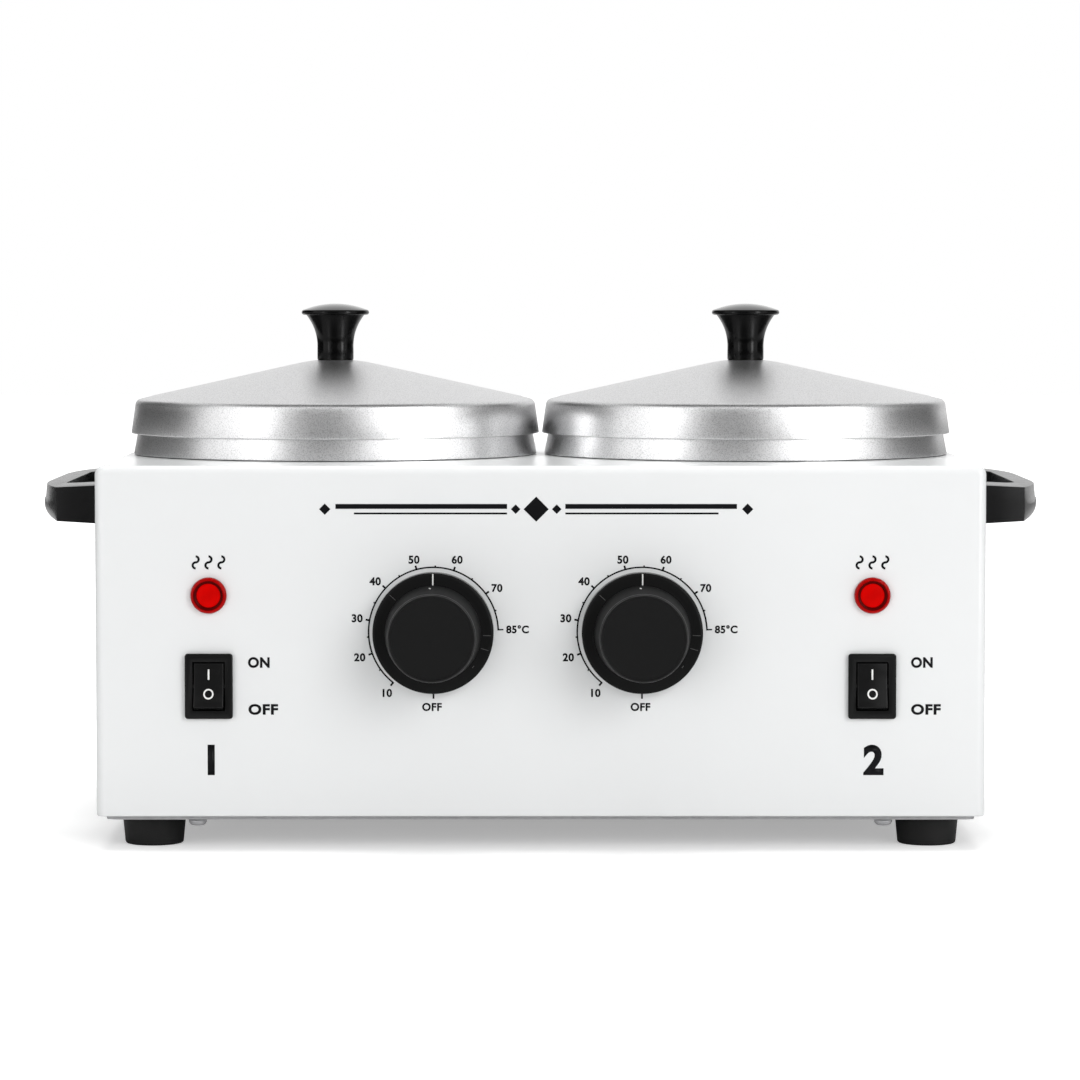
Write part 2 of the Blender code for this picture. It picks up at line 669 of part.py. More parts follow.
def tie_rod(side, axis):
    """A rod from the well's floor down through the base plate, with its nut below."""
    top = WELL_FLOOR_BOTTOM - GAP
    nut_top = BASE_BOTTOM - GAP
    nut_bottom = nut_top - TIE_NUT_HEIGHT
    collar = top - TIE_NUT_HEIGHT
    profile = [Vector((0, top)), Vector((TIE_NUT_RADIUS, top)), Vector((TIE_NUT_RADIUS, collar)),
               Vector((TIE_ROD_RADIUS, collar)), Vector((TIE_ROD_RADIUS, nut_top)),
               Vector((TIE_NUT_RADIUS, nut_top)), Vector((TIE_NUT_RADIUS, nut_bottom)),
               Vector((0, nut_bottom))]
    turned(f"{side}_tie_rod", profile, "zinc plate", SMALL_TURN, axis)


def thermal_cutout(side, sign):
    """A round thermal cut-out with two prongs, pressed to the underside of the well's floor."""
    place = (sign * (POT_X - CUTOUT_OFFSET), BODY_Y, WELL_FLOOR_BOTTOM - GAP)
    cap_bottom = -CUTOUT_CAP_HEIGHT
    can_bottom = cap_bottom - CUTOUT_CAN_HEIGHT
    profile = [Vector((0, 0)), Vector((CUTOUT_CAP_RADIUS, 0)), Vector((CUTOUT_CAP_RADIUS, cap_bottom)),
               Vector((CUTOUT_CAN_RADIUS, cap_bottom)), Vector((CUTOUT_CAN_RADIUS, can_bottom)),
               Vector((0, can_bottom))]
    part = turned(f"{side}_thermal_cutout", profile, "ceramic", SMALL_TURN, place)
    for end, way in SIDES:
        prong = cylinder_mesh("prong", CUTOUT_PRONG_RADIUS, CUTOUT_PRONG_LENGTH + CUTOUT_CAP_HEIGHT,
                              SCREW_TURN)
        prong_x = place[0] + way * CUTOUT_CAN_RADIUS / 2
        prong_z = place[2] + can_bottom + CUTOUT_CAP_HEIGHT
        join(part, new_tool(f"{side}_cutout_{end}_prong", prong, (prong_x, BODY_Y, prong_z), DOWNWARD))


def pots():
    """Lift-out spun pots, whose rims roll over into a flared skirt that stands on the housing."""
    for side, sign in SIDES:
        profile = rounded([(0, POT_FLOOR_TOP, 0), (POT_BORE_RADIUS, POT_FLOOR_TOP, POT_FLOOR_RADIUS),
                           (POT_BORE_RADIUS, BODY_TOP + POT_RIM_HEIGHT, POT_RIM_ROUND),
                           (POT_RIM_RADIUS, BODY_TOP + POT_RIM_HEIGHT, POT_RIM_ROUND),
                           (POT_SKIRT_RADIUS, BODY_TOP + GAP, 0)], 1)
        turned(f"{side}_pot", profile, "spun aluminium", FINE_TURN, (sign * POT_X, BODY_Y, 0), wall=POT_WALL)


def lids():
    """Shallow cone lids with a flared skirt, each with a turned knob and the screw that holds it."""
    bore = LID_SCREW[2] + SCREW_CLEARANCE
    crown = [(radius, LID_TOP - LID_SLOPE * radius ** 2 / (2 * LID_CROWN_RADIUS), 0)
             for radius in (bore, LID_CROWN_RADIUS / 2, LID_CROWN_RADIUS)]
    skirt = [(LID_SHOULDER_RADIUS, BODY_TOP + LID_SKIRT_TOP, LID_ROUND),
             (LID_SKIRT_RADIUS, BODY_TOP + LID_SKIRT_BOTTOM, 0)]
    for side, sign in SIDES:
        axis = (sign * POT_X, BODY_Y, 0)
        turned(f"{side}_lid", rounded(crown + skirt), "spun aluminium", FINE_TURN, axis, wall=LID_WALL)
        lid_knob(side, (sign * POT_X, BODY_Y, LID_TOP + GAP))
        pan_screw(f"{side}_lid_screw", LID_SCREW, "zinc plate",
                  (sign * POT_X, BODY_Y, LID_TOP - LID_WALL - GAP), DOWNWARD)


def lid_knob(side, seat):
    """A domed knob on a waisted stem, bored from below for its screw."""
    dome_curve = (KNOB_DOME_RADIUS ** 2 + KNOB_DOME ** 2) / (2 * KNOB_DOME)
    dome_edge = 90 - math.degrees(math.asin(KNOB_DOME_RADIUS / dome_curve))
    rim_half = KNOB_RIM / 2
    rim_middle = KNOB_HEIGHT - KNOB_DOME - rim_half
    neck_top = rim_middle - rim_half
    bore = LID_SCREW[2] + SCREW_CLEARANCE
    bore_top = LID_SCREW[3]
    dome = arc((0, KNOB_HEIGHT - dome_curve), (dome_curve, dome_curve), 90, dome_edge, 3)
    rim = arc((KNOB_RADIUS - rim_half, rim_middle), (rim_half, rim_half), 60, -90, 3)
    neck = arc((KNOB_NECK_RADIUS, KNOB_STEM_HEIGHT),
               (KNOB_NECK_RADIUS - KNOB_STEM_RADIUS, neck_top - KNOB_STEM_HEIGHT), 90, 180, 4)
    profile = dome + rim + neck
    profile += [Vector((KNOB_STEM_RADIUS, 0)), Vector((bore, 0)), Vector((bore, bore_top)),
                Vector((0, bore_top))]
    turned(f"{side}_lid_knob", profile, "gloss black", MIDDLE_TURN, seat)


def handles():
    """Side handles: a bar on two arms with a finger gap, and the screws that hold them from inside."""
    for side, sign in SIDES:
        reach = HANDLE_REACH - GAP
        centre = (sign * (SIDE_X + GAP + reach / 2), BODY_Y, HANDLE_Z)
        part = new_part(f"{side}_handle", handle_mesh(side, sign, reach), "black plastic", centre)
        gap_reach = HANDLE_REACH - HANDLE_BAR
        window = (gap_reach + OVERRUN, HANDLE_LENGTH - 2 * HANDLE_ARM, HANDLE_HEIGHT + 2 * OVERRUN)
        window_x = sign * (SIDE_X + (gap_reach - OVERRUN) / 2)
        cut(part, box_hole(f"{side}_finger_gap", window, (window_x, BODY_Y, HANDLE_Z), "Z",
                           HANDLE_WINDOW_CORNER))
        soften(part, HANDLE_EDGE, 1)
        outward = RIGHTWARD if sign > 0 else LEFTWARD
        inward = LEFTWARD if sign > 0 else RIGHTWARD
        for end, way in (("front", -1), ("rear", 1)):
            y = handle_screw_y(way)
            cut(part, round_hole(f"{end}_{side}_handle_bore", HANDLE_SCREW[2] + SCREW_CLEARANCE,
                                 (sign * SIDE_X, y, HANDLE_Z), outward, 2 * HANDLE_SCREW[3], SCREW_TURN))
            pan_screw(f"{end}_{side}_handle_screw", HANDLE_SCREW, "zinc plate",
                      (sign * (SIDE_X - SHEET - GAP), y, HANDLE_Z), inward)


def handle_mesh(side, sign, reach):
    """The handle's solid, from its sloping underside over its round lower edge and its parting step."""
    half = HANDLE_HEIGHT / 2
    levels = [(HANDLE_FACE + (reach - HANDLE_FACE) * math.sin(turn),
               HANDLE_LOWER_ROUND * (1 - math.cos(turn)) - half)
              for turn in (0, math.pi / 6, math.pi / 3, math.pi / 2)]
    parting = half - HANDLE_PARTING_DROP
    levels += [(reach, parting), (reach - HANDLE_STEP, parting + HANDLE_STEP),
               (reach - HANDLE_STEP - HANDLE_DRAFT, half)]
    bm = bmesh.new()
    rows = []
    for level_reach, z in levels:
        root_z = z if rows else z - HANDLE_ROOT_DROP
        rows.append([bm.verts.new((sign * (x - reach / 2), y, root_z if x == 0 else z))
                     for x, y in handle_outline(level_reach)])
    for lower, upper in zip(rows, rows[1:]):
        for index, vert in enumerate(lower):
            after = (index + 1) % len(lower)
            bm.faces.new((vert, lower[after], upper[after], upper[index]))
    bm.faces.new(rows[0])
    bm.faces.new(rows[-1])
    bmesh.ops.recalc_face_normals(bm, faces=bm.faces)
    return mesh_from(bm, f"{side}_handle")


def handle_outline(reach, steps=5):
    """The handle in plan: a flat face at each end, and a corner that sweeps from it round to the bar."""
    half = HANDLE_LENGTH / 2
    corner = []
    for step in range(steps + 1):
        share = step / steps
        x = HANDLE_FACE + (reach - HANDLE_FACE) * (1 - (1 - share) ** 2)
        y = half - 2 * HANDLE_CORNER_LEAD * share * (1 - share) - HANDLE_CORNER_RUN * share ** 2
        corner.append((x, y))
    return [(0, -half)] + [(x, -y) for x, y in corner] + corner[::-1] + [(0, half)]


def dials():
    """Dial knobs on the shafts of two capillary thermostats behind the panel."""
    for side, sign in SIDES:
        place = (dial_x(sign), FRONT_Y, DIAL_Z)
        dial_knob(side, place)
        shaft_back = -(SHEET + THERMOSTAT_BODY[2] / 2)
        shaft = d_rod_mesh("shaft", SHAFT_RADIUS, SHAFT_FLAT, DIAL_BORE_DEPTH - GAP - shaft_back, SMALL_TURN)
        new_part(f"{side}_thermostat_shaft", shaft, "zinc plate",
                 (place[0], FRONT_Y - shaft_back, DIAL_Z), FORWARD)
        thermostat(side, place, shaft_back)
        hex_nut(f"{side}_panel_nut", PANEL_NUT_RADIUS, PANEL_NUT_HEIGHT, BUSH_RADIUS + GAP, "zinc plate",
                (place[0], FRONT_Y - GAP, DIAL_Z), FORWARD)
        capillary(side, sign)


def dial_knob(side, place):
    """A cap on a round skirt, hollow behind for the panel nut and bored for the shaft's flat."""
    corners = [(0, DIAL_REACH, 0), (DIAL_CAP_RADIUS, DIAL_REACH, DIAL_CAP_ROUND),
               (DIAL_HUB_RADIUS, DIAL_SKIRT_FRONT, 0), (DIAL_SKIRT_RADIUS, DIAL_SKIRT_FRONT, DIAL_SKIRT_ROUND),
               (DIAL_SKIRT_RADIUS, DIAL_SKIRT_BACK, 0), (DIAL_RECESS_RADIUS, DIAL_SKIRT_BACK, 0),
               (DIAL_RECESS_RADIUS, DIAL_RECESS_DEPTH, 0), (0, DIAL_RECESS_DEPTH, 0)]
    part = turned(f"{side}_dial_knob", rounded(corners), "black plastic", MIDDLE_TURN, place, FORWARD)
    bore = d_rod_mesh("bore", SHAFT_RADIUS + GAP, SHAFT_FLAT + GAP, DIAL_BORE_DEPTH, SMALL_TURN)
    cut(part, new_tool(f"{side}_dial_bore", bore, place, FORWARD))


def thermostat(side, place, shaft_back):
    """The thermostat's body behind the panel, with its threaded bush through it and a stepped cover."""
    width, height, depth = THERMOSTAT_BODY
    body = box_mesh("body", (width, depth, height), "Y", THERMOSTAT_EDGE, 1)
    part = new_part(f"{side}_thermostat", body, "zinc plate",
                    (place[0], PANEL_BACK_Y + depth / 2, DIAL_Z))
    cover = (width - 2 * THERMOSTAT_COVER_INSET, THERMOSTAT_COVER + SHEET,
             height - 2 * THERMOSTAT_COVER_INSET)
    cover_y = PANEL_BACK_Y + depth + (THERMOSTAT_COVER - SHEET) / 2
    join(part,
         new_tool(f"{side}_thermostat_cover", box_mesh("cover", cover), (place[0], cover_y, DIAL_Z)),
         new_tool(f"{side}_bush", cylinder_mesh("bush", BUSH_RADIUS, BUSH_REACH + 2 * SHEET, SMALL_TURN),
                  (place[0], FRONT_Y + 2 * SHEET, DIAL_Z), FORWARD))
    bore = cylinder_mesh("bore", SHAFT_RADIUS + GAP, BUSH_REACH + OVERRUN - shaft_back + GAP, SMALL_TURN)
    cut(part, new_tool(f"{side}_bush_bore", bore, (place[0], FRONT_Y - shaft_back + GAP, DIAL_Z), FORWARD))


def capillary(side, sign):
    """The thermostat's capillary tube, which ends in a bulb held under the well's floor."""
    start = Vector((dial_x(sign), PANEL_BACK_Y + THERMOSTAT_BODY[2] + THERMOSTAT_COVER + GAP,
                    DIAL_Z - THERMOSTAT_BODY[1] / 4))
    bulb_z = WELL_FLOOR_BOTTOM - GAP - BULB_RADIUS
    bulb_x = sign * (POT_X + CUTOUT_OFFSET / 2)
    bulb_start = Vector((bulb_x, BODY_Y - BULB_LENGTH / 2, bulb_z))
    bulb_end = Vector((bulb_x, BODY_Y + BULB_LENGTH / 2, bulb_z))
    lead = Vector((0, 2 * BULB_RADIUS, 0))
    drop = Vector((0, 0, 2 * BULB_RADIUS))
    knee = Vector((start.x, start.y + 2 * lead.y, (start.z + bulb_z) / 2))
    low = Vector((start.x, start.y + 4 * lead.y, bulb_z)) - drop
    places = [start, start + lead, knee, low, low.lerp(bulb_start, 1 / 2) - drop / 2,
              bulb_start - 2 * lead, bulb_start - lead / 4]
    route = smooth_route(places, 3)
    curve = bpy.data.curves.new(f"{side}_capillary", "CURVE")
    curve.dimensions = "3D"
    curve.bevel_depth = CAPILLARY_RADIUS
    curve.bevel_resolution = 1
    curve.use_fill_caps = True
    spline = curve.splines.new("POLY")
    swell = BULB_RADIUS / CAPILLARY_RADIUS
    stations = [(point, 1.0) for point in route]
    stations += [(bulb_start, swell), (bulb_end - lead / 4, swell), (bulb_end, 1.0)]
    spline.points.add(len(stations) - 1)
    for point, (place, scale) in zip(spline.points, stations):
        point.co = (*place, 1)
        point.radius = scale
    new_part(f"{side}_capillary", welded_mesh(f"{side}_capillary", curve), "copper")


def switches():
    """Rocker switches: a snap-in frame and a rocker on two pins, pressed at the top, which is on."""
    for side, sign in SIDES:
        x = sign * SWITCH_X
        pivot = (x, FRONT_Y - ROCKER_PIVOT_REACH, SWITCH_Z)
        switch_frame(side, x, pivot)
        rocker(side, pivot)


def switch_frame(side, x, pivot):
    """The switch's bezel and body, open in front for the rocker, with two tabs behind."""
    width, height, reach = SWITCH_BEZEL
    bezel = new_part(f"{side}_switch_frame", box_mesh("bezel", (width, reach, height)), "gloss black",
                     (x, FRONT_Y - GAP - reach / 2, SWITCH_Z))
    soften(bezel, SWITCH_BEZEL_EDGE)
    depth = SWITCH_BODY[2] + GAP + reach / 2
    body = box_mesh("body", (SWITCH_BODY[0], depth, SWITCH_BODY[1]))
    body_back = FRONT_Y + SWITCH_BODY[2]
    join(bezel, new_tool(f"{side}_switch_body", body, (x, body_back - depth / 2, SWITCH_Z)))
    for end, way in SIDES:
        tab = box_mesh("tab", (SWITCH_TAB[0], SWITCH_TAB[2] + SHEET, SWITCH_TAB[1]))
        tab_y = body_back + (SWITCH_TAB[2] - SHEET) / 2
        join(bezel, new_tool(f"{side}_switch_{end}_tab", tab, (x, tab_y, SWITCH_Z + way * SWITCH_TAB_SPREAD)))
    clearance = ROCKER_RADIUS + GAP
    pocket_back = pivot[1] + clearance
    pocket_front = FRONT_Y - reach - OVERRUN
    pocket = (ROCKER_WIDTH + 2 * TURNING_CLEARANCE, pocket_back - pocket_front, 2 * clearance)
    sockets = 2 * (ROCKER_PIN_LENGTH + GAP) + ROCKER_WIDTH
    cut(bezel,
        box_hole(f"{side}_rocker_pocket", pocket, (x, (pocket_back + pocket_front) / 2, SWITCH_Z)),
        round_hole(f"{side}_pin_sockets", ROCKER_PIN_RADIUS + GAP, pivot, RIGHTWARD, sockets, SCREW_TURN))


def rocker(side, pivot):
    """The rocker: round ends about its pins, and two faces that meet in a shallow valley."""
    tilt = ROCKER_SWING / 2
    reach_angle = tilt + math.asin(ROCKER_WAIST * math.cos(tilt) / ROCKER_RADIUS)
    radii = (ROCKER_RADIUS, ROCKER_RADIUS)
    front = math.degrees(reach_angle)
    back = math.degrees(ROCKER_BACK_ANGLE)
    upper = arc((0, 0), radii, 90 + back, 90 - front, 5)
    lower = arc((0, 0), radii, front - 90, -90 - back, 5)
    valley = rounded([(*upper[-1], 0), (ROCKER_WAIST, 0, ROCKER_VALLEY), (*lower[0], 0)], 3)
    outline = upper + valley[1:-1] + lower
    pressed = Matrix.Rotation(tilt, 2)
    mesh = flat_mesh(f"{side}_rocker", [pressed @ point for point in outline], ROCKER_WIDTH)
    mesh.transform(Matrix(((0, 0, -1, 0), (-1, 0, 0, 0), (0, 1, 0, 0), (0, 0, 0, 1))))
    part = new_part(f"{side}_rocker", mesh, "gloss black", pivot)
    soften(part, ROCKER_EDGE, 1)
    pin_length = ROCKER_WIDTH + 2 * ROCKER_PIN_LENGTH
    pin = cylinder_mesh("pin", ROCKER_PIN_RADIUS, pin_length, SCREW_TURN)
    join(part, new_tool(f"{side}_rocker_pin", pin, (pivot[0] - pin_length / 2, *pivot[1:]), RIGHTWARD))


def lamps():
    """Indicator lamps with a domed lens in a ring, held by a nut behind the panel."""
    for side, sign in SIDES:
        lens_edge = LAMP_RING_REACH - LAMP_LENS_SUNK
        lens_dome = arc((0, lens_edge), (LAMP_LENS_RADIUS, LAMP_LENS_CROWN), 90, 0, 2)
        corners = [(*lens_dome[-1], 0), (LAMP_LENS_RADIUS, LAMP_RING_REACH, 0),
                   (LAMP_RADIUS, LAMP_RING_REACH, LAMP_RING_EDGE), (LAMP_RADIUS, GAP, 0),
                   (LAMP_BARREL_RADIUS, GAP, 0), (LAMP_BARREL_RADIUS, -LAMP_BARREL_LENGTH, 0),
                   (LAMP_TAIL_RADIUS, -LAMP_BARREL_LENGTH, 0),
                   (LAMP_TAIL_RADIUS, -LAMP_BARREL_LENGTH - LAMP_TAIL_LENGTH, 0),
                   (0, -LAMP_BARREL_LENGTH - LAMP_TAIL_LENGTH, 0)]
        place = (sign * SWITCH_X, FRONT_Y, LAMP_Z)
        turned(f"{side}_lamp", lens_dome[:-1] + rounded(corners), "red lens", SMALL_TURN, place, FORWARD)
        hex_nut(f"{side}_lamp_nut", LAMP_NUT_RADIUS, LAMP_NUT_HEIGHT, LAMP_BARREL_RADIUS + GAP,
                "black plastic", (place[0], PANEL_BACK_Y, LAMP_Z), BACKWARD)


def inlet():
    """Appliance inlet in the rear panel, with three flat pins in its socket."""
    width, height, thickness = INLET_FLANGE
    flange = box_mesh("flange", (width, thickness, height), "Y", FOLD_RADIUS)
    part = new_part("power_inlet", flange, "black plastic", (0, REAR_Y + GAP + thickness / 2, INLET_Z))
    depth = INLET_BODY[2] + GAP + thickness / 2
    body_y = REAR_Y - INLET_BODY[2] + depth / 2
    join(part, new_tool("inlet_body", box_mesh("body", (INLET_BODY[0], depth, INLET_BODY[1])),
                        (0, body_y, INLET_Z)))
    face = REAR_Y + INLET_REACH
    socket = (INLET_SOCKET[0], INLET_SOCKET[2] + OVERRUN, INLET_SOCKET[1])
    socket_y = face - INLET_SOCKET[2] + socket[1] / 2
    cut(part, box_hole("inlet_socket", socket, (0, socket_y, INLET_Z), "Y", INLET_SOCKET_EDGE))
    pin_length = INLET_PIN[2] + INLET_PIN_TAIL
    tip = face - INLET_SOCKET[2] + INLET_PIN[2] - GAP
    for name, across, lift in (("live_pin", 1, -1), ("neutral_pin", -1, -1), ("earth_pin", 0, 1)):
        pin_size = (INLET_PIN[0], pin_length, INLET_PIN[1])
        place = (across * INLET_PIN_SPREAD, tip - pin_length / 2, INLET_Z + lift * INLET_PIN_LIFT)
        hole = (INLET_PIN[0] + 2 * GAP, pin_length + OVERRUN, INLET_PIN[1] + 2 * GAP)
        cut(part, box_hole(f"{name}_hole", hole, place))
        new_part(name, box_mesh(name, pin_size), "brass", place)


def terminal_block():
    """Three-way terminal block on the base plate."""
    width, depth, height = TERMINAL_BLOCK
    z = BASE_TOP + GAP + height / 2
    part = new_part("terminal_block", box_mesh("block", (width, depth, height)), "ceramic", (0, BODY_Y, z))
    for way in (-1, 0, 1):
        x = way * TERMINAL_TOWER_PITCH
        tower = cylinder_mesh("tower", TERMINAL_TOWER_RADIUS, height / 2 + TERMINAL_TOWER_HEIGHT, SCREW_TURN)
        join(part, new_tool(f"terminal_tower_{way + 1}", tower, (x, BODY_Y, z)))
        cut(part, round_hole(f"terminal_bore_{way + 1}", TERMINAL_SCREW_RADIUS,
                             (x, BODY_Y, z + height / 2 + TERMINAL_TOWER_HEIGHT), UPRIGHT,
                             2 * TERMINAL_TOWER_HEIGHT, SCREW_TURN))


def shade_round_pieces():
    """Shade each part smooth, with its sharp edges kept."""
    for part in PARTS.objects:
        part.data.shade_smooth()
        part.data.set_sharp_from_angle(angle=math.radians(35))


for old in list(bpy.data.objects):
    bpy.data.objects.remove(old)
PARTS = new_collection("double_wax_warmer")
CUTTERS = new_collection("cutters")

housing_shell()
base_plate()
feet()
wells()
pots()
lids()
handles()
dials()
switches()
lamps()
inlet()
terminal_block()
shade_round_pieces()
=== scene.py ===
"""Looks of a double wax warmer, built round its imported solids.

Each sub-assembly is a class that keeps its sizes, models the pieces that show and gives them and the carried
solids their finishes. Lengths are metres, the front faces -Y and +Z is up.
"""
from __future__ import annotations

import json
import logging
import math
from dataclasses import dataclass
from enum import Enum
from typing import Callable, Iterable, Sequence

import bmesh
import bpy
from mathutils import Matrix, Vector

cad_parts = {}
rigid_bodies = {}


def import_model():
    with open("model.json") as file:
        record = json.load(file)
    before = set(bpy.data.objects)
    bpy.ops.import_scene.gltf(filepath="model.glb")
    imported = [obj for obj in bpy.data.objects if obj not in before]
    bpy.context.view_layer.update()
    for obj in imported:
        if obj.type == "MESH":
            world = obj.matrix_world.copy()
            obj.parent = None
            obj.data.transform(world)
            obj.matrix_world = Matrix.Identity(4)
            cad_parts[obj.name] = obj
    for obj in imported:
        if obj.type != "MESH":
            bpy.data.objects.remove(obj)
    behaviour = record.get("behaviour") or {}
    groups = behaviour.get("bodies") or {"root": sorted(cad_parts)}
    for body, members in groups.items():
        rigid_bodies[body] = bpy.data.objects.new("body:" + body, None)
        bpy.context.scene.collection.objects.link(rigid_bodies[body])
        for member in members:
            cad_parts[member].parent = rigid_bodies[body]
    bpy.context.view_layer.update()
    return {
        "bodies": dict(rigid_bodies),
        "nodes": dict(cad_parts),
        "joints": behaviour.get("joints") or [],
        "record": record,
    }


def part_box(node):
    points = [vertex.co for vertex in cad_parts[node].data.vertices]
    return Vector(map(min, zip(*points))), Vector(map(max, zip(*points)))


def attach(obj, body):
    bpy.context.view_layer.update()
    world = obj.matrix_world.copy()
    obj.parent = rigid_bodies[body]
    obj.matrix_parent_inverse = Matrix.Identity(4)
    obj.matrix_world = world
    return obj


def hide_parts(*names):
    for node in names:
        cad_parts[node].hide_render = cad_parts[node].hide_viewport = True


LOG = logging.getLogger("wax_warmer")
Point = tuple[float, float]
Place = tuple[float, float, float]
Test = Callable[[Vector], bool]
CLOSE = 0.00001


class Side(Enum):
    """The two halves of the warmer, each with the sign of its X."""

    LEFT = -1
    RIGHT = 1

    @property
    def word(self) -> str:
        """Return the side's word in node names."""
        return self.name.lower()


class End(Enum):
    """The front and the rear, each with the sign of its Y."""

    FRONT = -1
    REAR = 1

    @property
    def word(self) -> str:
        """Return the end's word in node names."""
        return self.name.lower()


class Facing(Enum):
    """Turns that point a piece's own +Z another way."""

    UP = (0.0, 0.0, 0.0)
    DOWN = (math.pi, 0.0, 0.0)
    FORWARD = (math.pi / 2, 0.0, 0.0)
    RIGHTWARD = (0.0, math.pi / 2, 0.0)


class Part(Enum):
    """What a selection in edit mode is made of."""

    VERTS = "VERT"
    EDGES = "EDGE"
    FACES = "FACE"


class Number:
    """A value socket on which Python's arithmetic adds Math nodes."""

    def __init__(self, tree: "Tree", socket: bpy.types.NodeSocket) -> None:
        """Keep the socket and the tree that it belongs to."""
        self.tree = tree
        self.socket = socket

    def math(self, operation: str, *terms: "Number | float") -> "Number":
        """Add one Math node.

        Args:
            operation: The node's operation.
            *terms: What goes into its inputs, in order.

        Returns:
            The node's value.
        """
        node = self.tree.node("ShaderNodeMath", {"operation": operation}, dict(enumerate(terms)))
        return Number(self.tree, node.outputs[0])

    def __add__(self, other: "Number | float") -> "Number":
        """Add."""
        return self.math("ADD", self, other)

    __radd__ = __add__

    def __mul__(self, other: "Number | float") -> "Number":
        """Multiply."""
        return self.math("MULTIPLY", self, other)

    __rmul__ = __mul__

    def __sub__(self, other: "Number | float") -> "Number":
        """Subtract."""
        return self.math("SUBTRACT", self, other)

    def __rsub__(self, other: "Number | float") -> "Number":
        """Subtract this from a number."""
        return self.math("SUBTRACT", other, self)

    def __truediv__(self, other: "Number | float") -> "Number":
        """Divide."""
        return self.math("DIVIDE", self, other)

    def wave(self) -> "Number":
        """Return the sine."""
        return self.math("SINE", self)

    def above(self, limit: float, spread: float) -> "Number":
        """Rise from 0 to 1 round a limit.

        Args:
            limit: The value at which the result is a half.
            spread: How far the rise reaches on each side of it.

        Returns:
            The share, from 0 to 1.
        """
        node = self.tree.node("ShaderNodeMapRange", {"interpolation_type": "SMOOTHSTEP"},
                              {"Value": self, "From Min": limit - spread, "From Max": limit + spread})
        return Number(self.tree, node.outputs["Result"])


Feed = "Number | bpy.types.NodeSocket | float | tuple"


class Tree:
    """A material's nodes."""

    def __init__(self, material: bpy.types.Material) -> None:
        """Take hold of the material's nodes and its shader."""
        material.use_nodes = True
        self.nodes = material.node_tree.nodes
        self.links = material.node_tree.links
        self.shader = self.nodes["Principled BSDF"]

    def node(self, kind: str, settings: dict | None = None, inputs: dict | None = None) -> bpy.types.Node:
        """Add a node.

        Args:
            kind: The node's type.
            settings: Its own settings, where stops are those of a ramp.
            inputs: Values or links for its sockets, by name or number.

        Returns:
            The node.
        """
        made = self.nodes.new(kind)
        for name, value in (settings or {}).items():
            if name == "stops":
                elements = made.color_ramp.elements
                while len(elements) < len(value):
                    elements.new(0.5)
                for element, (position, colour) in zip(elements, value):
                    element.position = position
                    element.color = (*colour, 1.0)
            else:
                setattr(made, name, value)
        for name, value in (inputs or {}).items():
            self.feed(made.inputs[name], value)
        return made

    def feed(self, socket: bpy.types.NodeSocket, value: "Feed") -> None:
        """Link a socket to another, or set its own value."""
        if isinstance(value, Number):
            value = value.socket
        if isinstance(value, bpy.types.NodeSocket):
            self.links.new(value, socket)
        else:
            socket.default_value = value

    def where(self, centre: Place = (0.0, 0.0, 0.0),
              stretch: Place = (1.0, 1.0, 1.0)) -> bpy.types.NodeSocket:
        """Return the place on the object, about a centre and stretched along each axis."""
        coordinate = self.node("ShaderNodeTexCoord").outputs["Object"]
        shifted = self.node("ShaderNodeVectorMath", {"operation": "SUBTRACT"}, {0: coordinate, 1: centre})
        scaled = self.node("ShaderNodeVectorMath", {"operation": "MULTIPLY"},
                           {0: shifted.outputs[0], 1: stretch})
        return scaled.outputs[0]

    def reach(self, place: bpy.types.NodeSocket) -> Number:
        """Return a place's distance from its centre."""
        return Number(self, self.node("ShaderNodeVectorMath", {"operation": "LENGTH"},
                                      {0: place}).outputs["Value"])

    def noise(self, place: bpy.types.NodeSocket, scale: float, detail: float = 2.0) -> Number:
        """Return noise from about 0.2 to 0.8 at that many grains to the metre."""
        node = self.node("ShaderNodeTexNoise", {"noise_dimensions": "3D"},
                         {"Vector": place, "Scale": scale, "Detail": detail})
        return Number(self, node.outputs["Fac"])

    def line(self, value: Number, scale: float) -> Number:
        """Return noise along one value alone."""
        node = self.node("ShaderNodeTexNoise", {"noise_dimensions": "1D"},
                         {"W": value, "Scale": scale, "Detail": 1.0})
        return Number(self, node.outputs["Fac"])

    def mix(self, share: "Feed", first: "Feed", second: "Feed") -> bpy.types.NodeSocket:
        """Return a colour between two."""
        node = self.node("ShaderNodeMix", {"data_type": "RGBA"}, {0: share, 6: first, 7: second})
        return node.outputs[2]

    def bump(self, height: Number, strength: float, distance: float) -> None:
        """Raise the surface by a height."""
        node = self.node("ShaderNodeBump", None,
                         {"Height": height, "Strength": strength, "Distance": distance})
        self.feed(self.shader.inputs["Normal"], node.outputs["Normal"])

    def paint(self, **sockets: "Feed") -> None:
        """Set the shader's sockets, named with low lines for spaces."""
        for name, value in sockets.items():
            self.feed(self.shader.inputs[name.replace("_", " ").title().replace("Ior", "IOR")], value)


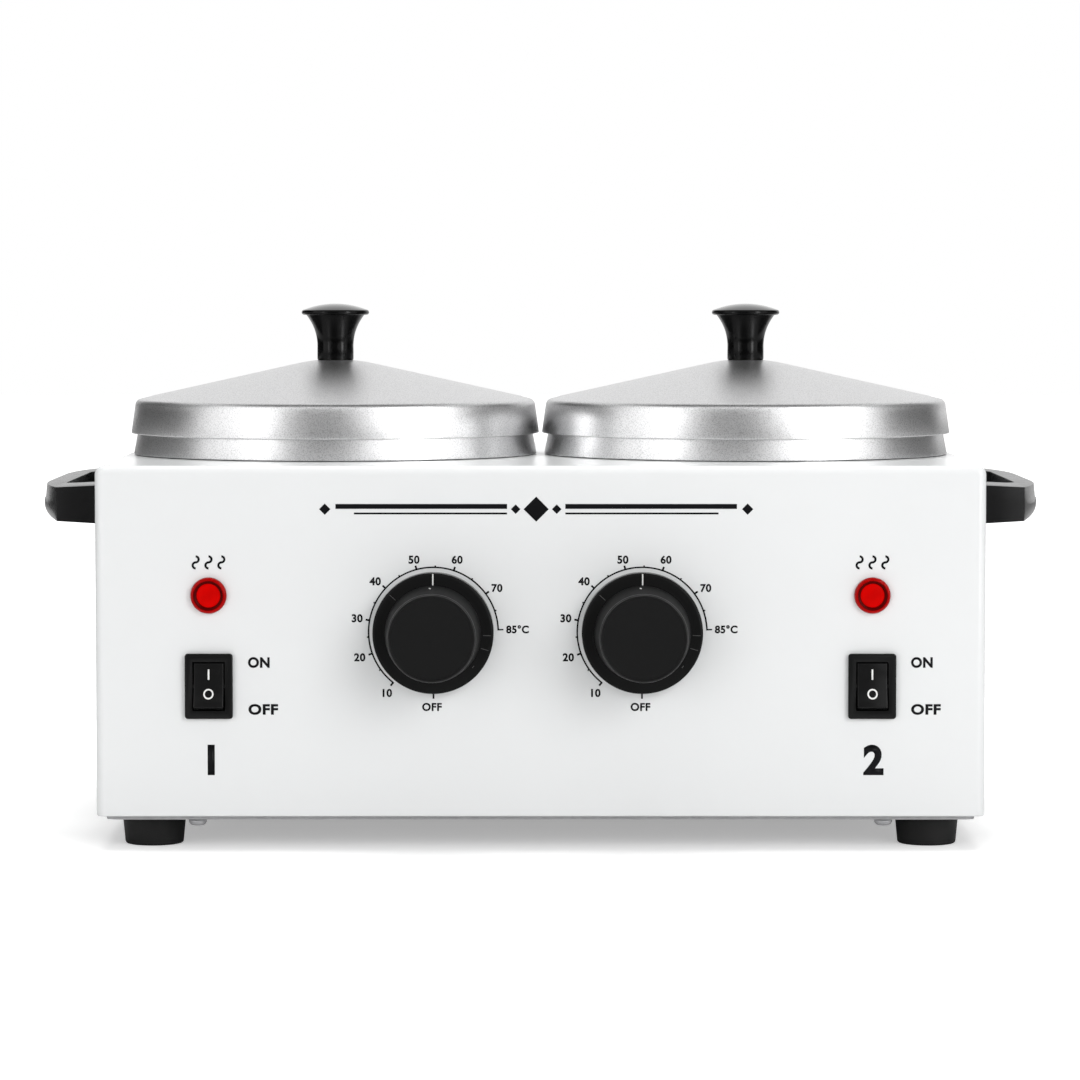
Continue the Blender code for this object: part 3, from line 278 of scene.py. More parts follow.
@dataclass(frozen=True)
class Finish:
    """A moulded, painted or plated surface with fine grain and slight patches."""

    name: str
    colour: Place
    roughness: float
    metallic: float = 0.0
    coat: float = 0.0
    patch: float = 90.0
    patch_tone: float = 0.94
    grain: float = 1800.0
    grain_depth: float = 0.00002
    grain_strength: float = 0.2
    roughness_spread: float = 0.08
    specular: float = 0.5

    def material(self, key: str = "", centre: Place = (0.0, 0.0, 0.0)) -> bpy.types.Material:
        """Make the finish, or fetch it where it was made before.

        Args:
            key: A word that tells one piece's own pattern from another's.
            centre: The centre of the pattern.

        Returns:
            The material.
        """
        name = f"{self.name} {key}".strip()
        known = bpy.data.materials.get(name)
        if known:
            return known
        material = bpy.data.materials.new(name)
        tree = Tree(material)
        tree.paint(roughness=self.roughness, metallic=self.metallic, coat_weight=self.coat,
                   specular_ior_level=self.specular)
        self.pattern(tree, centre)
        return material

    def pattern(self, tree: Tree, centre: Place) -> None:
        """Lay patches of tone and of gloss, and a fine grain, over the surface."""
        place = tree.where(centre)
        patches = tree.noise(place, self.patch, 3.0)
        grain = tree.noise(place, self.grain)
        darker = tuple(part * self.patch_tone for part in self.colour)
        tree.paint(base_color=tree.mix(patches.above(0.5, 0.25), (*self.colour, 1.0), (*darker, 1.0)),
                   roughness=self.roughness + (patches - 0.5) * self.roughness_spread
                   + (grain - 0.5) * self.roughness_spread)
        tree.bump(grain, self.grain_strength, self.grain_depth)


@dataclass(frozen=True)
class PowderCoat(Finish):
    """Glossy powder coat, whose surface flows in soft waves."""

    wave: float = 420.0
    dust: float = 0.985

    def pattern(self, tree: Tree, centre: Place) -> None:
        """Lay long soft waves under fine ones, with a trace of dust."""
        place = tree.where(centre)
        waves = tree.noise(place, self.wave, 1.0)
        fine = tree.noise(place, self.grain, 1.0)
        patches = tree.noise(place, self.patch, 4.0)
        dusty = tuple(part * self.dust for part in self.colour)
        tree.paint(base_color=tree.mix(patches.above(0.52, 0.2), (*self.colour, 1.0), (*dusty, 1.0)),
                   roughness=self.roughness + (patches - 0.5) * self.roughness_spread)
        tree.bump(waves + fine * 0.25, self.grain_strength, self.grain_depth)


@dataclass(frozen=True)
class SpunMetal(Finish):
    """Spun aluminium, blasted to a satin: bright grains over faint rings from the turning."""

    rings: float = 700.0
    ring_depth: float = 0.3
    crown: float = 0.38
    crown_depth: float = 0.0165

    def pattern(self, tree: Tree, centre: Place) -> None:
        """Lay grains and rings about the piece's own axis, and change its gloss below the crown."""
        place = tree.where(centre)
        radius = tree.reach(tree.where(centre, (1.0, 1.0, 0.0)))
        height = tree.reach(tree.where(centre, (0.0, 0.0, 1.0)))
        rings = tree.line(radius + height * 0.7, self.rings)
        grains = tree.noise(place, self.grain, 1.0)
        specks = tree.noise(place, self.grain * 0.45, 2.0)
        patches = tree.noise(place, self.patch, 3.0)
        dull = tuple(part * self.patch_tone for part in self.colour)
        skirt = height.above(self.crown_depth, 0.001) * (self.roughness - self.crown)
        tree.paint(base_color=tree.mix(grains.above(0.45, 0.1), (*dull, 1.0), (*self.colour, 1.0)),
                   roughness=self.crown + skirt + (specks - 0.5) * self.roughness_spread
                   + (patches - 0.5) * 0.04)
        tree.bump(grains + specks * 0.6 + rings * self.ring_depth, self.grain_strength, self.grain_depth)


@dataclass(frozen=True)
class Lacquered(Finish):
    """A black turning whose domed top is lacquered."""

    above: float = 0.0171
    lacquer: float = 0.7

    def pattern(self, tree: Tree, centre: Place) -> None:
        """Coat what stands above a height over the centre."""
        super().pattern(tree, centre)
        height = Number(tree, tree.node("ShaderNodeSeparateXYZ", None,
                                        {0: tree.where(centre)}).outputs["Z"])
        tree.paint(coat_weight=height.above(self.above, 0.0003) * self.lacquer)


@dataclass(frozen=True)
class TwoGloss(Finish):
    """A moulding whose raised cap is paler and more matt than the disc behind it, with a highlight painted
    round the cap's edge.
    """

    polished: float = 0.2
    disc: Place = (0.0090, 0.0091, 0.0092)
    step: float = -0.0075
    front: float = -0.0254
    # Radius and half-width of the highlight ring painted round the cap's edge.
    edge: Point = (0.01395, 0.00012)
    side_roughness: float = 0.3
    # Colour of the highlight painted round the cap's edge.
    worn: Place = (0.06, 0.06, 0.06)

    def pattern(self, tree: Tree, centre: Place) -> None:
        """Change tone and gloss at a depth in front of the centre, and paint a pale highlight in patches
        round the cap's edge.
        """
        super().pattern(tree, centre)
        place = tree.where(centre)
        depth = Number(tree, tree.node("ShaderNodeSeparateXYZ", None, {0: place}).outputs["Y"])
        grain = tree.noise(place, self.grain)
        disc = depth.above(self.step, 0.0004)
        face = 1.0 - depth.above(self.front, 0.0004)
        side = 1.0 - face - disc
        radius = tree.reach(tree.where(centre, (1.0, 0.0, 1.0)))
        # Painted highlight: a thin pale ring on the cap's front edge, broken into patches by noise.
        highlight_ring = radius.above(self.edge[0] - self.edge[1], 0.0001) * (
            1.0 - radius.above(self.edge[0] + self.edge[1], 0.0001)) * face
        highlight_patches = tree.noise(place, 160.0, 1.0).above(0.5, 0.25)
        base = tree.mix(face, (*self.disc, 1.0), (*self.colour, 1.0))
        tree.paint(roughness=self.roughness - disc * (self.roughness - self.polished)
                   + side * self.side_roughness + (grain - 0.5) * self.roughness_spread,
                   base_color=tree.mix(highlight_ring * (0.4 + highlight_patches * 0.6), base, (*self.worn, 1.0)))


@dataclass(frozen=True)
class Lit(Finish):
    """A red lens lit from behind, its glow in soft patches."""

    glow: Place = (0.58, 0.0005, 0.0)
    strength: float = 1.0

    def pattern(self, tree: Tree, centre: Place) -> None:
        """Lay a soft glow with moulded rings over the lens."""
        place = tree.where(centre)
        radius = tree.reach(place)
        rings = tree.line(radius, 3500.0)
        patches = tree.noise(place, 260.0, 1.0)
        deep = tuple(part * 0.8 for part in self.glow)
        glow = tree.mix(patches.above(0.5, 0.25), (*self.glow, 1.0), (*deep, 1.0))
        tree.paint(base_color=(*self.colour, 1.0), emission_color=glow, emission_strength=self.strength)
        tree.bump(rings + patches, self.grain_strength, self.grain_depth)


WHITE_COAT = PowderCoat("white powder coat", (0.79, 0.80, 0.802), 0.18, coat=0.0, patch=14.0, grain=1500.0,
                        grain_depth=0.00004, grain_strength=0.12, roughness_spread=0.06, specular=0.25)
SATIN_ALUMINIUM = SpunMetal("satin aluminium", (0.78, 0.78, 0.785), 0.33, 1.0, patch=60.0, patch_tone=0.74,
                            grain=2700.0, grain_depth=0.00004, grain_strength=0.4, roughness_spread=0.12)
BRIGHT_ALUMINIUM = SpunMetal("bright aluminium", (0.80, 0.80, 0.80), 0.2, 1.0, patch=45.0, patch_tone=0.92,
                             grain=2200.0, grain_depth=0.00003, grain_strength=0.2, rings=1500.0,
                             ring_depth=1.0)
GLOSS_BLACK = Lacquered("gloss black plastic", (0.001, 0.001, 0.0011), 0.16, patch=150.0, grain=900.0,
                        grain_depth=0.00002, grain_strength=0.06, roughness_spread=0.05, specular=0.16)
DIAL_BLACK = TwoGloss("satin black plastic", (0.0105, 0.0106, 0.0107), 0.3, patch=220.0, grain=3200.0,
                      grain_depth=0.00002, grain_strength=0.14, specular=0.05)
HANDLE_BLACK = Finish("black handle plastic", (0.0072, 0.0072, 0.0075), 0.24, patch=180.0, grain=2400.0,
                      grain_depth=0.00003, grain_strength=0.2, specular=0.25)
SWITCH_BLACK = Finish("black switch plastic", (0.0062, 0.0063, 0.0064), 0.24, patch=260.0, grain=3600.0,
                      grain_depth=0.00002, grain_strength=0.12, specular=0.15)
RUBBER = Finish("black rubber", (0.009, 0.009, 0.009), 0.6, patch=140.0, patch_tone=0.8, grain=1300.0,
                grain_depth=0.00006, grain_strength=0.35, specular=0.25)
RED_RING = Finish("red lamp ring", (0.40, 0.0012, 0.001), 0.14, patch=320.0, patch_tone=0.85,
                  grain=2500.0, grain_strength=0.05, specular=0.07)
RED_WELL = Finish("shaded red ring", (0.085, 0.0005, 0.0005), 0.3, patch=320.0, patch_tone=0.8,
                  grain=2500.0, grain_strength=0.05, specular=0.03)
RED_GLOW = Lit("lit red lens", (0.10, 0.0004, 0.0003), 0.35, grain_strength=0.2, grain_depth=0.00004,
               specular=0.02)
WHITE_MARK = Finish("white marking", (0.82, 0.82, 0.8), 0.45, patch=400.0, grain=3000.0, grain_strength=0.1)
GREY_MARK = Finish("worn grey marking", (0.05, 0.05, 0.05), 0.4, patch=500.0, grain=3000.0,
                   grain_strength=0.1)
BLACK_PRINT = Finish("black screen print", (0.005, 0.005, 0.006), 0.3, patch=300.0, grain=2800.0,
                     grain_depth=0.00001, grain_strength=0.15, specular=0.1)
ZINC = Finish("zinc plate", (0.60, 0.61, 0.62), 0.36, 1.0, patch=160.0, patch_tone=0.8, grain=900.0,
              grain_depth=0.00002, grain_strength=0.15, roughness_spread=0.14)
PALE_ZINC = Finish("dull galvanised sheet", (0.40, 0.40, 0.41), 0.6, 0.1, patch=300.0, patch_tone=0.85,
                   grain=900.0, roughness_spread=0.14)
MICA = Finish("mica band", (0.46, 0.42, 0.35), 0.45, 0.7, patch=120.0, patch_tone=0.7, grain=500.0)
COPPER = Finish("copper tube", (0.80, 0.42, 0.27), 0.3, 1.0, patch=200.0, patch_tone=0.75)
BRASS = Finish("brass", (0.80, 0.62, 0.30), 0.28, 1.0, patch=200.0, patch_tone=0.85)
CERAMIC = Finish("glazed ceramic", (0.80, 0.78, 0.72), 0.35, coat=0.2, patch=160.0, grain=900.0)


class Workpiece:
    """One mesh object while it is shaped."""

    def __init__(self, thing: bpy.types.Object) -> None:
        """Keep the object."""
        self.thing = thing

    @staticmethod
    def bench() -> None:
        """Leave edit mode and drop every selection."""
        if bpy.context.mode != "OBJECT":
            bpy.ops.object.mode_set(mode="OBJECT")
        bpy.ops.object.select_all(action="DESELECT")

    @classmethod
    def made(cls, name: str, scale: Place = (1.0, 1.0, 1.0)) -> "Workpiece":
        """Name the object that an operator just added, and give its place and its scale to its mesh."""
        thing = bpy.context.object
        thing.scale = scale
        thing.name = name
        thing.data.name = name
        bpy.ops.object.transform_apply(location=True, rotation=True, scale=True)
        return cls(thing)

    @classmethod
    def block(cls, name: str, low: Sequence[float], high: Sequence[float]) -> "Workpiece":
        """Add a cube between two corners."""
        cls.bench()
        middle = [(start + end) / 2 for start, end in zip(low, high)]
        size = [end - start for start, end in zip(low, high)]
        bpy.ops.mesh.primitive_cube_add(size=1, location=middle)
        return cls.made(name, size)

    @classmethod
    def rod(cls, name: str, radius: float, length: float, steps: int, facing: Facing,
            centre: Sequence[float]) -> "Workpiece":
        """Add a cylinder about a centre."""
        cls.bench()
        bpy.ops.mesh.primitive_cylinder_add(vertices=steps, radius=radius, depth=length, location=centre,
                                            rotation=facing.value)
        return cls.made(name)

    @classmethod
    def line(cls, name: str, points: Sequence[Place], closed: bool) -> "Workpiece":
        """Draw a line by extruding one vertex from point to point.

        Args:
            name: The piece's name.
            points: Where the line goes.
            closed: Whether it ends where it began.

        Returns:
            The piece, in edit mode with all selected.
        """
        cls.bench()
        bpy.ops.mesh.primitive_plane_add(size=0.01)
        piece = cls.made(name)
        piece.edit(Part.VERTS)
        bpy.ops.mesh.select_all(action="SELECT")
        bpy.ops.mesh.merge(type="CENTER")
        bpy.ops.transform.translate(value=points[0])
        for before, after in zip(points, points[1:]):
            step = tuple(end - start for start, end in zip(before, after))
            bpy.ops.mesh.extrude_vertices_move(TRANSFORM_OT_translate={"value": step})
        if closed:
            count = len(points)
            mesh = bmesh.from_edit_mesh(piece.thing.data)
            mesh.verts.ensure_lookup_table()
            mesh.verts[0].select_set(True)
            mesh.verts[count - 1].select_set(True)
            bmesh.update_edit_mesh(piece.thing.data)
            bpy.ops.mesh.edge_face_add()
        bpy.ops.mesh.select_all(action="SELECT")
        return piece

    @classmethod
    def turned(cls, name: str, profile: Sequence[Point], steps: int, closed: bool = False) -> "Workpiece":
        """Spin a profile about +Z.

        Args:
            name: The piece's name.
            profile: Points of radius and height.
            steps: Facets round the turn.
            closed: Whether the profile is a ring of points that doesn't end on the axis.

        Returns:
            The piece, with its faces outwards.
        """
        piece = cls.line(name, [(radius, 0.0, height) for radius, height in profile], closed)
        bpy.ops.mesh.spin(steps=steps, angle=math.tau, center=(0, 0, 0), axis=(0, 0, 1))
        return piece.mended()

    @classmethod
    def prism(cls, name: str, outline: Sequence[Place], depth: Place) -> "Workpiece":
        """Fill an outline and extrude it."""
        piece = cls.line(name, outline, True)
        bpy.ops.mesh.edge_face_add()
        bpy.ops.mesh.extrude_region_move(TRANSFORM_OT_translate={"value": depth})
        return piece.mended()

    @classmethod
    def band(cls, name: str, radii: Point, start: float, end: float, steps: int) -> "Workpiece":
        """Spin a short edge into a flat arc that faces forward, by degrees clockwise from the top."""
        piece = cls.line(name, [(0.0, 0.0, radii[0]), (0.0, 0.0, radii[1])], False)
        bpy.ops.mesh.spin(steps=steps, angle=math.radians(end - start), center=(0, 0, 0), axis=(0, -1, 0))
        return piece.mended().spun(math.radians(start))

    @classmethod
    def bar(cls, name: str, width: float, height: float, middle: Point = (0.0, 0.0)) -> "Workpiece":
        """Add a flat bar that faces forward."""
        cls.bench()
        bpy.ops.mesh.primitive_plane_add(size=1, rotation=Facing.FORWARD.value,
                                         location=(middle[0], 0, middle[1]))
        return cls.made(name, (width, height, 1.0))

    @classmethod
    def lettering(cls, name: str, words: str, size: Point, middle: Point, weight: float) -> "Workpiece":
        """Set words that face forward, about their middle.

        Args:
            name: The piece's name.
            words: What they say.
            size: Their width, or 0 for the type's own, and their height.
            middle: Their middle.
            weight: How far the strokes are thickened.

        Returns:
            The piece.
        """
        cls.bench()
        bpy.ops.object.text_add(rotation=Facing.FORWARD.value)
        text = bpy.context.object
        text.data.body = words
        text.data.align_x = "CENTER"
        text.data.resolution_u = 6
        text.data.offset = weight
        text.data.space_character = 1.0 + 2.2 * weight
        bpy.ops.object.convert(target="MESH")
        piece = cls.made(name)
        low, high = piece.box()
        tall = size[1] / (high.z - low.z)
        wide = size[0] / (high.x - low.x) if size[0] else tall
        centre = (low + high) / 2
        piece.thing.scale = (wide, tall, tall)
        piece.thing.location = (middle[0] - centre.x * wide, 0.0, middle[1] - centre.z * tall)
        return piece.settled()

    def alone(self) -> "Workpiece":
        """Select this object alone and make it the active one."""
        self.bench()
        self.thing.select_set(True)
        bpy.context.view_layer.objects.active = self.thing
        return self

    def edit(self, part: Part = Part.FACES) -> "Workpiece":
        """Go into edit mode with nothing selected."""
        self.alone()
        bpy.ops.object.mode_set(mode="EDIT")
        bpy.ops.mesh.select_mode(type=part.value)
        bpy.ops.mesh.select_all(action="DESELECT")
        return self

    def pick(self, part: Part, test: Test) -> "Workpiece":
        """Select, in edit mode, what passes a test of its middle."""
        bpy.ops.mesh.select_mode(type=part.value)
        bpy.ops.mesh.select_all(action="DESELECT")
        mesh = bmesh.from_edit_mesh(self.thing.data)
        if part is Part.VERTS:
            for vert in mesh.verts:
                vert.select_set(test(vert.co))
        elif part is Part.EDGES:
            for edge in mesh.edges:
                edge.select_set(test((edge.verts[0].co + edge.verts[1].co) / 2))
        else:
            for face in mesh.faces:
                face.select_set(test(face.calc_center_median()))
        mesh.select_flush_mode()
        bmesh.update_edit_mesh(self.thing.data)
        return self

    def pick_edges_along(self, axis: int, test: Test) -> "Workpiece":
        """Select, in edit mode, the edges that run along an axis and whose middle passes a test."""
        bpy.ops.mesh.select_mode(type="EDGE")
        bpy.ops.mesh.select_all(action="DESELECT")
        mesh = bmesh.from_edit_mesh(self.thing.data)
        for edge in mesh.edges:
            run = edge.verts[1].co - edge.verts[0].co
            along = abs(run[axis]) > 0.99 * run.length
            edge.select_set(along and test((edge.verts[0].co + edge.verts[1].co) / 2))
        mesh.select_flush_mode()
        bmesh.update_edit_mesh(self.thing.data)
        return self

    def mended(self) -> "Workpiece":
        """Merge doubles, point the faces outwards and leave edit mode."""
        if bpy.context.mode == "OBJECT":
            self.edit(Part.VERTS)
        bpy.ops.mesh.select_all(action="SELECT")
        bpy.ops.mesh.remove_doubles(threshold=0.000002)
        bpy.ops.mesh.normals_make_consistent(inside=False)
        bpy.ops.object.mode_set(mode="OBJECT")
        return self

    def settled(self) -> "Workpiece":
        """Give the object's place, turn and scale to its mesh."""
        self.alone()
        bpy.ops.object.transform_apply(location=True, rotation=True, scale=True)
        return self

    def spun(self, turn: float, middle: Point = (0.0, 0.0)) -> "Workpiece":
        """Turn the mesh clockwise about +Y, as seen from the front, and move it to a middle."""
        self.thing.rotation_euler = (0.0, turn, 0.0)
        self.thing.location = (middle[0], 0.0, middle[1])
        return self.settled()

    def placed(self, where: Sequence[float], facing: Facing = Facing.UP) -> "Workpiece":
        """Turn the piece one way and set it down at a place."""
        self.thing.rotation_euler = facing.value
        self.thing.location = where
        return self.settled()

    def box(self) -> tuple[Vector, Vector]:
        """Return the mesh's lowest and highest corners."""
        spots = [vert.co for vert in self.thing.data.vertices]
        return (Vector([min(spot[axis] for spot in spots) for axis in range(3)]),
                Vector([max(spot[axis] for spot in spots) for axis in range(3)]))

    def modified(self, kind: str, **settings: object) -> "Workpiece":
        """Add a modifier and apply it."""
        self.alone()
        modifier = self.thing.modifiers.new("Shape", kind)
        for name, value in settings.items():
            setattr(modifier, name, value)
        bpy.ops.object.modifier_apply(modifier=modifier.name)
        return self

    def softened(self, width: float, segments: int = 3, angle: float = 40.0) -> "Workpiece":
        """Round the sharp edges."""
        return self.modified("BEVEL", width=width, segments=segments, limit_method="ANGLE",
                             angle_limit=math.radians(angle), use_clamp_overlap=True)

    def cut(self, *tools: "Workpiece") -> "Workpiece":
        """Cut other pieces away and remove them."""
        return self._combined("DIFFERENCE", tools)

    def grown(self, *tools: "Workpiece") -> "Workpiece":
        """Unite other pieces with this one and remove them."""
        return self._combined("UNION", tools)

    def _combined(self, operation: str, tools: Iterable["Workpiece"]) -> "Workpiece":
        """Apply one boolean after another."""
        for tool in tools:
            self.modified("BOOLEAN", operation=operation, object=tool.thing, solver="EXACT")
            bpy.data.objects.remove(tool.thing)
        return self

    def joined(self, others: Iterable["Workpiece"]) -> "Workpiece":
        """Join other pieces to this one."""
        self.alone()
        for other in others:
            other.thing.select_set(True)
        bpy.ops.object.join()
        return self

    def smooth(self, angle: float = 32.0) -> "Workpiece":
        """Shade smooth, apart from edges sharper than an angle."""
        self.alone()
        bpy.ops.object.shade_smooth_by_angle(angle=math.radians(angle))
        return self

    def even(self) -> "Workpiece":
        """Let large flat faces set the shading at their folds."""
        return self.modified("WEIGHTED_NORMAL", keep_sharp=True)

    def twin(self, name: str, shift: Sequence[float]) -> "Workpiece":
        """Copy the piece with a mesh of its own, moved by a shift."""
        thing = self.thing.copy()
        thing.data = self.thing.data.copy()
        thing.name = name
        thing.data.name = name
        bpy.context.scene.collection.objects.link(thing)
        copy = Workpiece(thing)
        copy.thing.location = shift
        return copy.settled()

    def finished(self, material: bpy.types.Material, body: str, *nodes: str, slot: str = "") -> "Workpiece":
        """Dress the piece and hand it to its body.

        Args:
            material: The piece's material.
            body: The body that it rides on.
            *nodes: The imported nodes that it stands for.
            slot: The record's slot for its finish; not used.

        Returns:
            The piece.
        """
        self.thing.data.materials.clear()
        self.thing.data.materials.append(material)
        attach(self.thing, body)
        if nodes:
            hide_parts(*nodes)
        LOG.info("%s on %s: %d faces", self.thing.name, body, len(self.thing.data.polygons))
        return self


def rounded(corners: Sequence[Place], steps: int = 8) -> list[Point]:
    """Follow corners with a short curve in place of each that has a setback.

    Args:
        corners: Points, each with how far before and after it its curve begins.
        steps: Segments to each curve.

    Returns:
        The points.
    """
    points: list[Point] = []
    last = len(corners) - 1
    for index, (x, z, setback) in enumerate(corners):
        corner = Vector((x, z))
        if not setback or index in (0, last):
            points.append((x, z))
            continue
        before = (Vector(corners[index - 1][:2]) - corner).normalized() * setback
        after = (Vector(corners[index + 1][:2]) - corner).normalized() * setback
        for step in range(steps + 1):
            share = step / steps
            points.append(tuple(corner + before * (1 - share) ** 2 + after * share ** 2))
    return points


def arc(centre: Point, radii: Point, start: float, end: float, steps: int) -> list[Point]:
    """Return points along an ellipse, by angle in degrees from its own +X."""
    angles = [math.radians(start + (end - start) * step / steps) for step in range(steps + 1)]
    return [(centre[0] + radii[0] * math.cos(angle), centre[1] + radii[1] * math.sin(angle))
            for angle in angles]


def walled(points: Sequence[Point], wall: float) -> list[Point]:
    """Return an outline that follows a line out and comes back a wall's thickness to its right."""
    spots = [Vector(point) for point in points]
    inner = []
    for index, spot in enumerate(spots):
        runs = []
        if index:
            runs.append((spot - spots[index - 1]).normalized())
        if index < len(spots) - 1:
            runs.append((spots[index + 1] - spot).normalized())
        sides = [Vector((run.y, -run.x)) for run in runs]
        side = sum(sides, Vector((0.0, 0.0)))
        side /= 1.0 if len(sides) == 1 else 1.0 + sides[0].dot(sides[1])
        inner.append(spot + side * wall)
    if points[0][0] == 0:
        inner[0].x = 0.0
    return [tuple(spot) for spot in spots] + [tuple(spot) for spot in reversed(inner)]


def middle_of(node: str) -> Vector:
    """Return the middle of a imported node's box."""
    return sum(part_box(node), Vector()) / 2


def dress(frame: dict, finish: Finish, *nodes: str) -> None:
    """Give carried solids a finish."""
    for node in nodes:
        thing = frame["nodes"][node]
        thing.data.materials.clear()
        thing.data.materials.append(finish.material())
        LOG.info("%s is carried in %s", node, finish.name)


@dataclass
class Housing:
    """White folded cover on a plated base plate, with rubber feet."""

    frame: dict
    sheet: float = 0.001
    fold: float = 0.003
    lower_fold: float = 0.0006
    lip: float = 0.010
    well_hole: float = 0.0634
    bush_hole: float = 0.0052
    lamp_hole: float = 0.0051
    switch_hole: Point = (0.0136, 0.0198)
    inlet_hole: Point = (0.0281, 0.0206)
    screw_hole: float = 0.0022
    foot_radii: Point = (0.0105, 0.0096)
    foot_bore: float = 0.0022
    foot_recess: Point = (0.0046, 0.0042)
    foot_rounds: Place = (0.0003, 0.0009, 0.0004)

    def build(self) -> None:
        """Model and dress the housing."""
        self.shell()
        self.feet()
        dress(self.frame, PALE_ZINC, "base_plate")
        dress(self.frame, ZINC, *(f"{end.word}_{side.word}_handle_screw" for end in End for side in Side))

    def shell(self) -> None:
        """Fold a box, turn its lower edge in, give it a wall and cut its openings."""
        low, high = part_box("housing_shell")
        piece = Workpiece.block("warmer_cover", low, high)
        piece.edit().pick(Part.FACES, lambda spot: spot.z < low.z + self.sheet)
        bpy.ops.mesh.delete(type="ONLY_FACE")
        piece.pick(Part.EDGES, lambda spot: spot.z > low.z + self.sheet)
        bpy.ops.mesh.bevel(offset=self.fold, segments=6, profile=0.5, affect="EDGES")
        self.turn_in(piece, low)
        piece.mended()
        piece.modified("SOLIDIFY", thickness=self.sheet, offset=-1, use_even_offset=True)
        reach = 4 * self.sheet
        for side in Side:
            word = side.word
            well = middle_of(f"{word}_well")
            shaft = middle_of(f"{word}_dial_knob")
            lamp = middle_of(f"{word}_lamp")
            switch = middle_of(f"{word}_switch_frame")
            piece.cut(
                Workpiece.rod("tool", self.well_hole, reach, 128, Facing.UP, (well.x, well.y, high.z)),
                Workpiece.rod("tool", self.bush_hole, reach, 32, Facing.FORWARD, (shaft.x, low.y, shaft.z)),
                Workpiece.rod("tool", self.lamp_hole, reach, 32, Facing.FORWARD, (lamp.x, low.y, lamp.z)),
                self.slot((switch.x, low.y, switch.z), self.switch_hole))
        inlet = middle_of("power_inlet")
        piece.cut(self.slot((inlet.x, high.y, inlet.z), self.inlet_hole))
        for end in End:
            for side in Side:
                screw = middle_of(f"{end.word}_{side.word}_base_screw")
                piece.cut(Workpiece.rod("tool", self.screw_hole, reach, 16, Facing.UP,
                                        (screw.x, screw.y, low.z)))
        piece.smooth(28).even()
        piece.finished(WHITE_COAT.material(), "housing", "housing_shell", slot="white_enamel")

    def turn_in(self, piece: Workpiece, low: Vector) -> None:
        """Extrude the lower edge round a small fold and inwards."""
        middle = low.z + self.lower_fold
        piece.pick(Part.VERTS, lambda spot: spot.z < low.z + self.sheet / 2)
        bpy.ops.transform.translate(value=(0, 0, self.lower_fold))
        size = [high - start for start, high in zip(*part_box("housing_shell"))]
        centre = middle_of("housing_shell")
        inset = 0.0
        level = middle
        stops = [(self.lower_fold * (1 - math.cos(turn)), middle - self.lower_fold * math.sin(turn))
                 for turn in (math.radians(22.5 * step) for step in range(1, 5))]
        stops.append((self.lip, low.z))
        for target, z in stops:
            bpy.ops.mesh.extrude_edges_move(TRANSFORM_OT_translate={"value": (0, 0, z - level)})
            scale = [(span - 2 * target) / (span - 2 * inset) for span in size[:2]]
            bpy.ops.transform.resize(value=(*scale, 1), center_override=(centre.x, centre.y, z))
            inset, level = target, z

    def slot(self, middle: Place, size: Point) -> Workpiece:
        """Make a cutter for a square opening in an upright panel."""
        reach = 2 * self.sheet
        return Workpiece.block("tool", (middle[0] - size[0] / 2, middle[1] - reach, middle[2] - size[1] / 2),
                               (middle[0] + size[0] / 2, middle[1] + reach, middle[2] + size[1] / 2))

    def feet(self) -> None:
        """Turn one rubber foot and copy it to each corner."""
        low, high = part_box("front_left_foot")
        height = high.z - low.z
        top, bottom = self.foot_radii
        recess, depth = self.foot_recess
        upper, lower, inner = self.foot_rounds
        profile = rounded([(self.foot_bore, height, 0), (top, height, upper), (bottom, 0, lower),
                           (recess, 0, inner), (recess, depth, 0), (self.foot_bore, depth, 0)])
        first = Workpiece.turned("front_left_rubber_foot", profile, 64, closed=True).smooth(40)
        start = Vector(((low.x + high.x) / 2, (low.y + high.y) / 2, 0))
        first.placed(start)
        for end in End:
            for side in Side:
                node = f"{end.word}_{side.word}_foot"
                if end is End.FRONT and side is Side.LEFT:
                    piece = first
                else:
                    middle = middle_of(node)
                    piece = first.twin(f"{end.word}_{side.word}_rubber_foot",
                                       (middle.x - start.x, middle.y - start.y, 0))
                piece.finished(RUBBER.material(), "housing", node, slot="black_rubber")


@dataclass
class Screws:
    """Pan head screws with a cross recess, where they show."""

    frame: dict
    steps: int = 32

    def build(self) -> None:
        """Model a screw of each size and copy it to each of its places."""
        corners = [(end, side) for end in End for side in Side]
        self.family("base_screw", (0.0030, 0.0018, 0.0014, 0.0060),
                    [(f"{end.word}_{side.word}_base_screw", "housing") for end, side in corners])
        self.family("foot_screw", (0.0036, 0.0022, 0.0018, 0.0105),
                    [(f"{end.word}_{side.word}_foot_screw", "housing") for end, side in corners])
        self.family("lid_screw", (0.0036, 0.0018, 0.0018, 0.0105),
                    [(f"{side.word}_lid_screw", f"{side.word}_lid") for side in Side])

    def family(self, kind: str, sizes: tuple[float, float, float, float],
               places: Sequence[tuple[str, str]]) -> None:
        """Turn one screw, cut its recess and copy it.

        Args:
            kind: The screw's kind.
            sizes: Its head's radius and height, and its shank's radius and length.
            places: The node and the body of each.
        """
        head, rise, shank, length = sizes
        crown = arc((head * 0.55, 0), (head * 0.45, rise), 0, 90, 6)
        profile = [(0.0, -length), (shank, -length), (shank, 0.0)] + crown + [(0.0, rise)]
        first = Workpiece.turned(f"pattern_{kind}", profile, self.steps)
        for width, depth in ((head * 1.1, head * 0.22), (head * 0.22, head * 1.1)):
            first.cut(Workpiece.block("tool", (-width / 2, -depth / 2, rise * 0.35),
                                      (width / 2, depth / 2, 2 * rise)))
        first.smooth(35).placed((0, 0, 0), Facing.DOWN)
        for node, body in places:
            low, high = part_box(node)
            piece = first.twin(f"{node}_cross", ((low.x + high.x) / 2, (low.y + high.y) / 2, low.z + rise))
            piece.finished(PALE_ZINC.material(), body, node, slot="zinc_plate")
        bpy.data.objects.remove(first.thing)


